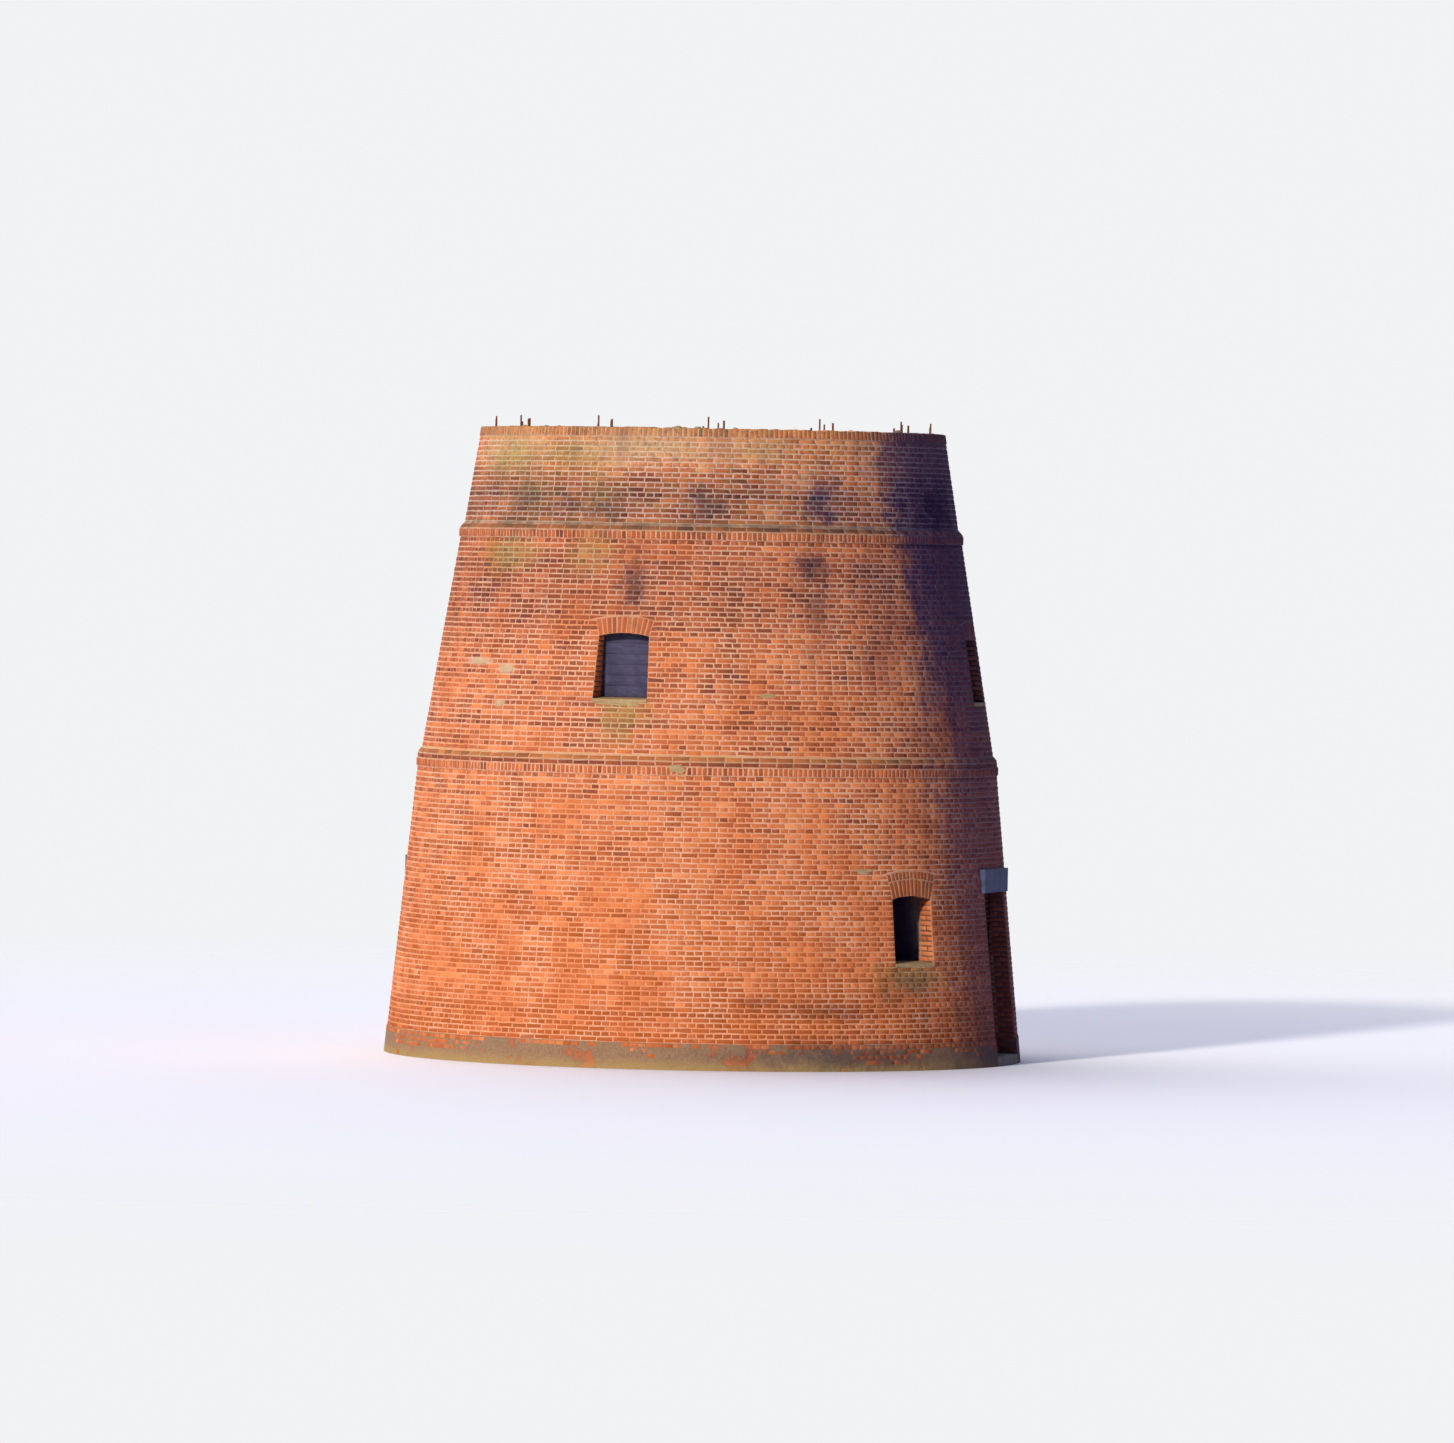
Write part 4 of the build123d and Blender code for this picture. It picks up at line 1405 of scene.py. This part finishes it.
class MILL_OT_outer_bricks(MillOperator, bpy.types.Operator):
    """Lay the outer bricks of the three storeys in rows of headers and stretchers"""

    bl_idname = "mill.outer_bricks"
    bl_label = "Lay the outer bricks"

    def execute(self, context):
        material = bpy.data.materials["wall_bricks"]
        storeys = (("lower", LOWER_OUT), ("middle", MIDDLE_OUT), ("top", TOP_OUT))
        for storey, face in storeys:
            openings = [] if storey == "top" else outer_gaps(storey)
            for quarter, sector in QUARTERS.items():
                batches = bonded_wall(face, openings, sector)
                tone_of_place(batches)
                lay(f"{storey}_bricks_{quarter}", batches, material)
        return {"FINISHED"}


class MILL_OT_inner_bricks(MillOperator, bpy.types.Operator):
    """Lay the bricks on the inside of the walls"""

    bl_idname = "mill.inner_bricks"
    bl_label = "Lay the inner bricks"

    def execute(self, context):
        material = bpy.data.materials["inner_bricks"]
        ledge = Face(LOWER_IN.top, MIDDLE_IN.foot, MIDDLE_IN.foot_radius, MIDDLE_IN.foot_radius, -1)
        upper_ring = Face(MIDDLE_IN.top, TOP_IN.foot, MIDDLE_IN.top_radius, MIDDLE_IN.top_radius, -1)
        foot_ring = Face(PAVING_TOP, LOWER_IN.foot, PAVING_RADIUS, LOWER_IN.foot_radius, -1)
        for name, face, openings in (
            ("lower", LOWER_IN, inner_gaps("lower")),
            ("floor_ledge", ledge, []),
            ("middle", MIDDLE_IN, inner_gaps("middle")),
            ("upper_string", upper_ring, []),
            ("top", TOP_IN, []),
            ("foot", foot_ring, inner_gaps("lower")),
        ):
            lay(f"{name}_inside_bricks", bonded_wall(face, openings), material)
        return {"FINISHED"}


def laid_row(face, pitch, tone=0.0, depth=BURIED):
    """One full ring of bricks that covers a face."""
    bearings, heights = row(face, face.foot, face.top, [], pitch)
    return batch_from(face, bearings, heights, depth, tone)


def lower_part(face, height):
    """The lowest part of a face."""
    top = face.foot + height
    return face._replace(top=top, top_radius=float(radius_at(face, top)))


class MILL_OT_string_courses(MillOperator, bpy.types.Operator):
    """Lay the bricks on edge and the flat course of the two string courses"""

    bl_idname = "mill.string_courses"
    bl_label = "Lay the string courses"

    def execute(self, context):
        brick = sizes()
        material = bpy.data.materials["moulded_bricks"]
        on_edge = brick.brick_height + brick.joint
        rowlock = brick.brick_width + brick.joint
        stretcher = brick.brick_length + brick.joint
        for name, under, over, radius, has_flat in STRING_COURSES:
            edge = Face(under.top, under.top + rowlock, radius, radius, 1)
            batches = [laid_row(edge, on_edge, EDGE_DARKER)]
            last = edge
            if has_flat:
                last = Face(edge.top, edge.top + on_edge, under.top_radius, under.top_radius, 1)
                batches.append(laid_row(last, stretcher, FLAT_DARKER))
            slope = Face(last.top, over.foot, last.top_radius, over.foot_radius, 1)
            batches.append(laid_row(lower_part(slope, SLOPE_BRICK), stretcher, SLOPE_DARKER))
            lay(f"{name}_string_bricks", batches, material)
        return {"FINISHED"}


# Name, storeys under and over it, radius, and whether a flat course follows the bricks on edge
STRING_COURSES = (
    ("lower", LOWER_OUT, MIDDLE_OUT, LOWER_STRING_RADIUS, True),
    ("upper", MIDDLE_OUT, TOP_OUT, UPPER_STRING_RADIUS, False),
)
EDGE_DARKER = -0.08
FLAT_DARKER = -0.20
SLOPE_DARKER = -0.12
SLOPE_BRICK = 0.077


class MILL_OT_rim(MillOperator, bpy.types.Operator):
    """Lay the uneven course of bricks on edge that ends the wall at its head"""

    bl_idname = "mill.rim"
    bl_label = "Lay the rim"

    def execute(self, context):
        brick = sizes()
        material = bpy.data.materials["moulded_bricks"]
        on_edge = brick.brick_height + brick.joint
        rng = np.random.default_rng(seed_of("rim"))
        batches = []
        for face in (RIM_OUT, RIM_IN):
            batch = laid_row(face, on_edge, 0.0, brick.brick_length)
            batch.corners[:, 2:, 2] += brick.joint / 2
            batch.corners[:, 2:, 2] += rng.uniform(*RIM_UNEVENNESS, (len(batch.corners), 1))
            batches.append(batch._replace(normals=outward(bearing_of(batch.normals))))
        lay("rim_bricks", batches, material)
        return {"FINISHED"}


# Least and most that a brick of the rim stands above it
RIM_UNEVENNESS = (-0.001, 0.016)


class MILL_OT_plinth(MillOperator, bpy.types.Operator):
    """Show the bricks where the render on the plinth has worn away"""

    bl_idname = "mill.plinth"
    bl_label = "Wear the plinth"

    def execute(self, context):
        rng = np.random.default_rng(seed_of("plinth"))
        doors = [gap._replace(sill=PLINTH_OUT.foot) for gap in outer_gaps("lower") if not gap.rise]
        phases = rng.uniform(0, FULL_TURN, len(WEAR_WAVES))
        batches = []
        for index, low, high in courses(LOWER_OUT, PLINTH_OUT.foot + sizes().joint, PLINTH_OUT.top):
            bearings, heights = row(PLINTH_OUT, low, high, doors, header=index % 2 == 1)
            middle = bearings.mean(axis=1)
            wear = sum(size * np.sin(turns * middle + phase)
                       for (turns, size), phase in zip(WEAR_WAVES, phases))
            wear = wear + WEAR_RISE * (low / PLINTH_OUT.top - WORN_FROM)
            wear = wear + rng.normal(0, WEAR_CHANCE, len(middle))
            batches.append(batch_from(PLINTH_OUT, bearings[wear > 0], heights[wear > 0]))
        lay("plinth_bricks", batches, bpy.data.materials["plinth_bricks"], PLINTH_PROUD, FINE_ARRIS)
        return {"FINISHED"}


# Turns round the tower and size of each wave of wear
WEAR_WAVES = ((3, 0.5), (8, 0.4), (17, 0.3))
# Wear grows by WEAR_RISE over the plinth's height, and is as likely as not at this share of it
WEAR_RISE = 2.6
WORN_FROM = 0.62
WEAR_CHANCE = 0.3
PLINTH_PROUD = 0.001
FINE_ARRIS = 0.004


# Patches of mortar: bearing in degrees, height, half width and half height in metres
Repair = namedtuple("Repair", "bearing height wide tall")

REPAIRS = (
    Repair(-18.6, 5.462, 0.45, 0.035),
    Repair(161.8, 5.462, 0.42, 0.030),
    Repair(-56.5, 6.05, 0.33, 0.045),
    Repair(-47.0, 5.95, 0.17, 0.060),
    Repair(-47.5, 5.42, 0.10, 0.045),
    Repair(31.0, 3.00, 0.16, 0.050),
    Repair(12.0, 5.62, 0.14, 0.040),
    Repair(190.0, 7.10, 0.20, 0.050),
    Repair(140.0, 3.30, 0.22, 0.060),
)
STRING_REPAIR = Repair(-5.8, 4.495, 0.135, 0.075)


class MILL_OT_repairs(MillOperator, bpy.types.Operator):
    """Smear old repairs in mortar over the bricks"""

    bl_idname = "mill.repairs"
    bl_label = "Smear the mortar repairs"

    def execute(self, context):
        rng = np.random.default_rng(seed_of("repairs"))
        ring = Face(LOWER_OUT.top, MIDDLE_OUT.foot, LOWER_STRING_RADIUS, LOWER_STRING_RADIUS, 1)
        points, faces = [], []
        for repair in (*REPAIRS, STRING_REPAIR):
            wall = LOWER_OUT if repair.height < LOWER_OUT.top else MIDDLE_OUT
            face = ring if repair == STRING_REPAIR else wall
            more, sides = self.smear(face, repair, rng)
            faces += [[corner + len(points) for corner in side] for side in sides]
            points += more
        mesh = bpy.data.meshes.new("mortar_repairs")
        mesh.from_pydata(points, [], faces)
        finished("mortar_repairs", mesh, bpy.data.materials["repair_mortar"])
        return {"FINISHED"}

    def smear(self, face, repair, rng):
        """Points and faces of one patch with a ragged edge that runs out into the bricks."""
        turns = np.arange(SMEAR_SPOKES) * FULL_TURN / SMEAR_SPOKES
        edge = 1 + sum(rng.uniform(*SMEAR_RAGGED) * np.sin(wave * turns + rng.uniform(0, FULL_TURN))
                       for wave in SMEAR_WAVES)
        points, faces = [], []
        for ring in range(SMEAR_RINGS + 1):
            share = ring / SMEAR_RINGS
            thick = SMEAR_THICKNESS * (1 - SMEAR_DIP * share ** SMEAR_FLATNESS)
            thick = thick + rng.normal(0, SMEAR_GRAIN, SMEAR_SPOKES)
            squared = np.sign(np.cos(turns)) * np.abs(np.cos(turns)) ** SMEAR_SQUARE
            across = share * edge * repair.wide * squared
            height = repair.height + share * edge * repair.tall * np.sin(turns)
            bearing = radians(repair.bearing) + across / radius_at(face, height)
            spots = on_face(face, bearing, height) + face_normal(face, bearing) * thick[:, None]
            points += spots.tolist()
        for ring in range(SMEAR_RINGS):
            for spoke in range(SMEAR_SPOKES):
                after = (spoke + 1) % SMEAR_SPOKES
                inner, outer = ring * SMEAR_SPOKES, (ring + 1) * SMEAR_SPOKES
                faces.append([inner + spoke, outer + spoke, outer + after, inner + after])
        return points, faces


SMEAR_SPOKES = 40
SMEAR_RINGS = 7
SMEAR_THICKNESS = 0.009
SMEAR_GRAIN = 0.0008
# The edge dips by half the thickness under the bricks, close to the outline only
SMEAR_DIP = 1.5
SMEAR_FLATNESS = 6
SMEAR_SQUARE = 0.7
# Waves round the outline, and the least and most that each strays
SMEAR_WAVES = (2, 3, 5, 8, 13)
SMEAR_RAGGED = (0.03, 0.16)


class MILL_OT_arches(MillOperator, bpy.types.Operator):
    """Lay the voussoirs of the window arches, outside and inside"""

    bl_idname = "mill.arches"
    bl_label = "Lay the arches"

    def execute(self, context):
        brick = sizes()
        material = bpy.data.materials["moulded_bricks"]
        for storey, outer, inner in OPEN_STOREYS:
            batches = []
            for gap in outer_gaps(storey):
                if not gap.rise:
                    continue
                soffit = arch_of(gap)[0]
                batches.append(arch_ring(outer, gap, soffit, brick.brick_length, gaps().reveal))
                if gap.ring > brick.brick_length:
                    second = soffit + brick.brick_length + brick.joint / 2
                    batches.append(arch_ring(outer, gap, second, brick.brick_width, BURIED))
            for gap in inner_gaps(storey):
                if gap.rise:
                    soffit = arch_of(gap)[0]
                    batches.append(arch_ring(inner, gap, soffit, brick.brick_length, brick.brick_length))
            batches = [batch._replace(tone=batch.tone + ARCH_TONES[storey]) for batch in batches]
            lay(f"{storey}_arch_bricks", batches, material, variety=ARCH_VARIETY)
        return {"FINISHED"}


OPEN_STOREYS = (("lower", LOWER_OUT, LOWER_IN), ("middle", MIDDLE_OUT, MIDDLE_IN))
ARCH_TONES = {"lower": -0.24, "middle": -0.05}
ARCH_VARIETY = 0.5


class MILL_OT_jambs(MillOperator, bpy.types.Operator):
    """Lay the bricks of the jambs inside each opening"""

    bl_idname = "mill.jambs"
    bl_label = "Lay the jambs"

    def execute(self, context):
        material = bpy.data.materials["jamb_bricks"]
        for storey, outer, inner in OPEN_STOREYS:
            batches = []
            for gap in outer_gaps(storey):
                # Painted light on the window jambs, painted shade on the door jambs
                tone = WINDOW_JAMB_PAINTED_LIGHT if gap.rise else DOOR_JAMB_PAINTED_SHADE
                jambs = both_jambs(outer, inner, gap, gap.rise == 0)
                batches += [batch._replace(tone=batch.tone + tone) for batch in jambs]
            lay(f"{storey}_jamb_bricks", batches, material)
        return {"FINISHED"}


# Tone shifts: painted light that brightens the window jambs, painted shade that darkens the door jambs
WINDOW_JAMB_PAINTED_LIGHT = 0.22
DOOR_JAMB_PAINTED_SHADE = -0.25


class MILL_OT_window_boards(MillOperator, bpy.types.Operator):
    """Close the upper windows with grey boards"""

    bl_idname = "mill.window_boards"
    bl_label = "Board up the upper windows"

    def execute(self, context):
        material = timber_material("window_board", "board", PANEL_GRAIN, BOARD_CONTRAST)
        batches = []
        for gap in inner_gaps("middle"):
            distance = reveal_distance(MIDDLE_OUT, gap, gaps().rebate)
            top = gap.spring - gaps().rebate + gap.rise + PANEL_MARGIN
            edges = np.linspace(gap.sill + PANEL_MARGIN, top, BOARD_COUNT + 1)
            low, high = edges[:-1] + BOARD_GAP / 2, edges[1:] - BOARD_GAP / 2
            height = np.stack([low, low, high, high], -1)
            across = (jamb_at(gap, height) - PANEL_MARGIN) * np.array([-1, 1, 1, -1])
            corners = outward(gap.bearing) * distance + across[..., None] * sideways(gap.bearing)
            corners[..., 2] = height
            batches.append(batch_of(corners, outward(gap.bearing), BOARD_THICKNESS))
        piece = lay("upper_window_boards", batches, material, 0.0, BOARD_ARRIS)
        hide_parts("upper_window_panels")
        return {"FINISHED"}


PANEL_MARGIN = 0.005
BOARD_CONTRAST = 0.75
BOARD_ARRIS = 0.001
BOARD_COUNT = 6
BOARD_GAP = 0.001
BOARD_THICKNESS = 0.03


class MILL_OT_floors(MillOperator, bpy.types.Operator):
    """Lay the boards of the first floor and the paving of the ground floor"""

    bl_idname = "mill.floors"
    bl_label = "Lay the floors"

    def execute(self, context):
        material = timber_material("floor_boards_timber", "timber", FLOOR_GRAIN)
        edges = np.linspace(-FLOOR_RADIUS, FLOOR_RADIUS, ceil(2 * FLOOR_RADIUS / FLOOR_BOARD) + 1)
        left, right = edges[:-1] + FLOOR_GAP / 2, edges[1:] - FLOOR_GAP / 2
        x = np.stack([left, right, right, left], -1)
        y = chord(FLOOR_RADIUS, x) * np.array([-1, -1, 1, 1])
        depth = FLOOR_TOP - FLOOR_UNDERSIDE
        piece = self.flat("first_floor_boards", x, y, FLOOR_TOP, depth, material, "floor_timber")
        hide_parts("floor_boards")
        self.paving()
        return {"FINISHED"}

    def paving(self):
        """Paving bricks in running bond, cut to the round wall."""
        brick = sizes()
        reach = PAVING_RADIUS - brick.joint
        pitch = brick.brick_width + brick.joint
        xs, ys = [], []
        for index in range(int(2 * reach / pitch)):
            low = -reach + index * pitch
            high = low + brick.brick_width
            ends = chord(reach, np.array([low, high]))
            shift = (index % 2) * brick.brick_length / 2
            starts = np.arange(-reach - shift, reach, brick.brick_length + brick.joint)
            left = np.stack([np.maximum(starts, -end) for end in ends], -1)
            right = np.stack([np.minimum(starts + brick.brick_length, end) for end in ends], -1)
            kept = (right - left).min(axis=1) > brick.joint
            left, right = left[kept], right[kept]
            xs.append(np.stack([left[:, 0], right[:, 0], right[:, 1], left[:, 1]], -1))
            ys.append(np.broadcast_to([low, low, high, high], xs[-1].shape))
        x, y = np.concatenate(xs), np.concatenate(ys)
        material = bpy.data.materials["paving_bricks"]
        self.flat("ground_floor_paving", x, y, PAVING_TOP, BURIED, material, "paving_brick", PAVING_TONE)

    def flat(self, name, x, y, top, depth, material, slot, tone=0.0):
        """Pieces that lie flat with their top faces at one level."""
        corners = np.stack([x, y, np.full_like(x, top)], -1)
        batch = batch_of(corners, (0.0, 0.0, 1.0), depth, tone)
        return lay(name, [batch], material, FLOOR_PROUD, FINE_ARRIS)


FLOOR_BOARD = 0.19
FLOOR_GAP = 0.006
FLOOR_PROUD = 0.002
PAVING_TONE = -0.18


class MILL_OT_rubble(MillOperator, bpy.types.Operator):
    """Leave a few lumps of old mortar and broken brick lying on the wall head"""

    bl_idname = "mill.rubble"
    bl_label = "Leave rubble on the wall head"

    def execute(self, context):
        rng = np.random.default_rng(seed_of("rubble"))
        places = [(radians(bearing), size) for bearing, size in LARGE_LUMPS]
        places += [(rng.uniform(0, FULL_TURN), rng.uniform(*SMALL_LUMPS)) for _ in range(LUMP_COUNT)]
        points, triangles = [], []
        for bearing, size in places:
            lump, faces = rough_lump(rng, size)
            middle = outward(bearing) * (RIM_IN.top_radius + rng.uniform(*LUMP_PLACES))
            middle[2] = RIM_TOP + size * LUMP_HEIGHT
            triangles.append(faces + sum(len(part) for part in points))
            points.append(lump + middle)
        points = np.concatenate(points)
        points[:, 2] = np.maximum(points[:, 2], RIM_TOP - LUMP_SUNK)
        mesh = bpy.data.meshes.new("wall_head_rubble")
        mesh.from_pydata(points.tolist(), [], np.concatenate(triangles).tolist())
        finished("wall_head_rubble", mesh, bpy.data.materials["repair_mortar"])
        return {"FINISHED"}


# Bearings and sizes of the large lumps, and least and most size of the small ones
LARGE_LUMPS = ((55, 0.07), (-4, 0.05), (-9, 0.06))
SMALL_LUMPS = (0.02, 0.05)
LUMP_COUNT = 34
# Least and most distance from the rim's inner edge, height as a share of the size, and depth in the mortar
LUMP_PLACES = (0.12, 0.42)
LUMP_HEIGHT = 0.18
LUMP_SUNK = 0.002
LUMP_SHAPE = (1.3, 0.9, 0.55)
LUMP_ROUGHNESS = (0.82, 1.12)


def rough_lump(rng, size):
    """Points and triangles of one rough flattened lump."""
    lump = bmesh.new()
    bmesh.ops.create_icosphere(lump, subdivisions=2, radius=1.0)
    points = np.array([vertex.co for vertex in lump.verts])
    faces = np.array([[vertex.index for vertex in face.verts] for face in lump.faces])
    lump.free()
    turn = rng.uniform(0, FULL_TURN)
    spin = np.array([[cos(turn), -sin(turn), 0], [sin(turn), cos(turn), 0], [0, 0, 1]])
    rough = points * rng.uniform(*LUMP_ROUGHNESS, (len(points), 1)) * np.array(LUMP_SHAPE) * size
    return rough @ spin.T, faces


class MILL_OT_stage(MillOperator, bpy.types.Operator):
    """Set the floor, the light and the camera"""

    bl_idname = "mill.stage"
    bl_label = "Set the stage"

    def execute(self, context):
        settings = context.scene.mill_stage
        self.floor(settings)
        self.world(settings)
        self.sun(settings)
        self.camera(settings)
        context.scene.view_settings.view_transform = "Standard"
        return {"FINISHED"}

    def floor(self, settings):
        """A pale round floor that fades out into the backdrop."""
        turns = np.linspace(0, FULL_TURN, FLOOR_CORNERS, endpoint=False)
        rim = outward(turns) * settings.floor_radius
        mesh = bpy.data.meshes.new("floor")
        mesh.from_pydata(rim.tolist(), [], [list(range(FLOOR_CORNERS))])
        floor = placed("floor", mesh)
        floor.location.z = -FLOOR_DROP
        nodes = new_material("pale_floor")
        inputs = {"Base Color": (*settings.floor_colour, 1.0), "Roughness": FLOOR_ROUGHNESS}
        surface = nodes.add("ShaderNodeBsdfPrincipled", inputs)
        fade = nodes.distance(nodes.place()).step((FADE_START, settings.floor_radius * FADE_END))
        clear = nodes.add("ShaderNodeBsdfTransparent")
        mixed = nodes.add("ShaderNodeMixShader", {0: fade, 1: surface, 2: clear})
        nodes.end("ShaderNodeOutputMaterial", mixed)
        mesh.materials.append(nodes.material)

    def world(self, settings):
        """An even pale sky that fills the shadows."""
        world = bpy.data.worlds.new("studio")
        bpy.context.scene.world = world
        world.use_nodes = True
        world.node_tree.nodes.clear()
        nodes = Nodes(world.node_tree)
        towards = {0: nodes.add("ShaderNodeTexCoord"), 1: self.direction(BACK_BEARING, BACK_HEIGHT)}
        facing = nodes.add("ShaderNodeVectorMath", towards, "Value", operation="DOT_PRODUCT")
        shade = nodes.mix(facing.step((BACK_EDGE, 1.0)), FILL_COLOUR, BACK_COLOUR)
        strength = facing.step((BACK_EDGE, 1.0, settings.sky_strength, settings.back_strength))
        fill = nodes.add("ShaderNodeBackground", {0: shade, 1: strength})
        seen = nodes.add("ShaderNodeBackground", {0: BACKDROP_COLOUR, 1: 1.0})
        path = nodes.add("ShaderNodeLightPath", output="Is Camera Ray")
        seen_by = path.most(path.output("Is Glossy Ray")).most(path.output("Is Transmission Ray"))
        mixed = nodes.add("ShaderNodeMixShader", {0: seen_by, 1: fill, 2: seen})
        nodes.end("ShaderNodeOutputWorld", mixed)

    def direction(self, bearing, height):
        """Unit vector towards a bearing and a height over the horizon, in degrees."""
        ahead = Vector(outward(radians(bearing))) * cos(radians(height))
        ahead.z = sin(radians(height))
        return ahead

    def sun(self, settings):
        """A soft light from far away."""
        light = bpy.data.lights.new("key_light", "SUN")
        light.energy = settings.sun_strength
        light.angle = radians(KEY_SPREAD)
        light.color = KEY_COLOUR
        towards = self.direction(KEY_BEARING, KEY_HEIGHT)
        placed("key_light", light).rotation_euler = towards.to_track_quat("Z", "Y").to_euler()

    def camera(self, settings):
        """A camera far in front, turned and rolled a little."""
        camera = bpy.data.cameras.new("camera")
        camera.sensor_fit = "HORIZONTAL"
        camera.sensor_width = SENSOR_WIDTH
        camera.lens = settings.lens
        camera.clip_end = 2 * settings.camera_distance
        holder = placed("camera", camera)
        turn, tilt, roll = (radians(angle) for angle in (CAMERA_TURN, CAMERA_TILT, CAMERA_ROLL))
        right = Vector((cos(turn), -sin(turn), 0.0))
        ahead = Vector((sin(turn), cos(turn), 0.0))
        up = Vector((0.0, 0.0, 1.0))
        ahead, up = ahead * cos(tilt) + up * sin(tilt), up * cos(tilt) - ahead * sin(tilt)
        right, up = right * cos(roll) + up * sin(roll), up * cos(roll) - right * sin(roll)
        turned = Matrix((right, up, -ahead)).transposed().to_4x4()
        place = Vector((0.0, -settings.camera_distance, settings.camera_height))
        holder.matrix_world = Matrix.Translation(place) @ turned
        bpy.context.scene.camera = holder


# Lights: bearings, heights and spreads in degrees
KEY_BEARING = -27
KEY_HEIGHT = 22
KEY_SPREAD = 5
KEY_COLOUR = (1.0, 0.94, 0.86)
FILL_COLOUR = (0.33, 0.41, 1.0, 1.0)
BACK_COLOUR = (1.0, 0.97, 0.94, 1.0)
BACK_BEARING = 218
BACK_HEIGHT = 25
BACK_EDGE = 0.25
BACKDROP_COLOUR = (0.88, 0.89, 0.90, 1.0)
# The floor fades out from this distance to this share of its radius
FADE_START = 12.0
FADE_END = 0.9
FLOOR_CORNERS = 96
FLOOR_ROUGHNESS = 0.9
FLOOR_DROP = 0.001
SENSOR_WIDTH = 36.0
# Degrees to the right, up and clockwise
CAMERA_TURN = 0.1042
CAMERA_TILT = -0.866
CAMERA_ROLL = 1.033


class MILL_PT_panel(bpy.types.Panel):
    """Lists the steps and the sizes of the tower"""

    bl_idname = "MILL_PT_panel"
    bl_label = "Mill tower"
    bl_space_type = "VIEW_3D"
    bl_region_type = "UI"
    bl_category = "Mill"

    def draw(self, context):
        column = self.layout.column()
        for step in STEPS:
            column.operator(step.bl_idname)
        for group in GROUPS:
            settings = getattr(context.scene, group)
            box = self.layout.box()
            for name in settings.__annotations__:
                box.prop(settings, name)


GROUPS = {
    "mill_bricks": MillBrickSizes,
    "mill_openings": MillOpeningSizes,
    "mill_colours": MillColours,
    "mill_stage": MillStage,
}
STEPS = (
    MILL_OT_masonry,
    MILL_OT_outer_bricks,
    MILL_OT_inner_bricks,
    MILL_OT_string_courses,
    MILL_OT_rim,
    MILL_OT_plinth,
    MILL_OT_repairs,
    MILL_OT_arches,
    MILL_OT_jambs,
    MILL_OT_window_boards,
    MILL_OT_floors,
    MILL_OT_rubble,
    MILL_OT_stage,
)


def register():
    """Register the settings, the steps and the panel."""
    for name, group in GROUPS.items():
        bpy.utils.register_class(group)
        setattr(bpy.types.Scene, name, PointerProperty(type=group))
    for step in (*STEPS, MILL_PT_panel):
        bpy.utils.register_class(step)


def unregister():
    """Take all of it out again."""
    for step in reversed((*STEPS, MILL_PT_panel)):
        bpy.utils.unregister_class(step)
    for name, group in reversed(list(GROUPS.items())):
        delattr(bpy.types.Scene, name)
        bpy.utils.unregister_class(group)


def main():
    """Make every piece in order."""
    register()
    for step in STEPS:
        family, name = step.bl_idname.split(".")
        getattr(getattr(bpy.ops, family), name)()


if __name__ == "__main__":
    main()
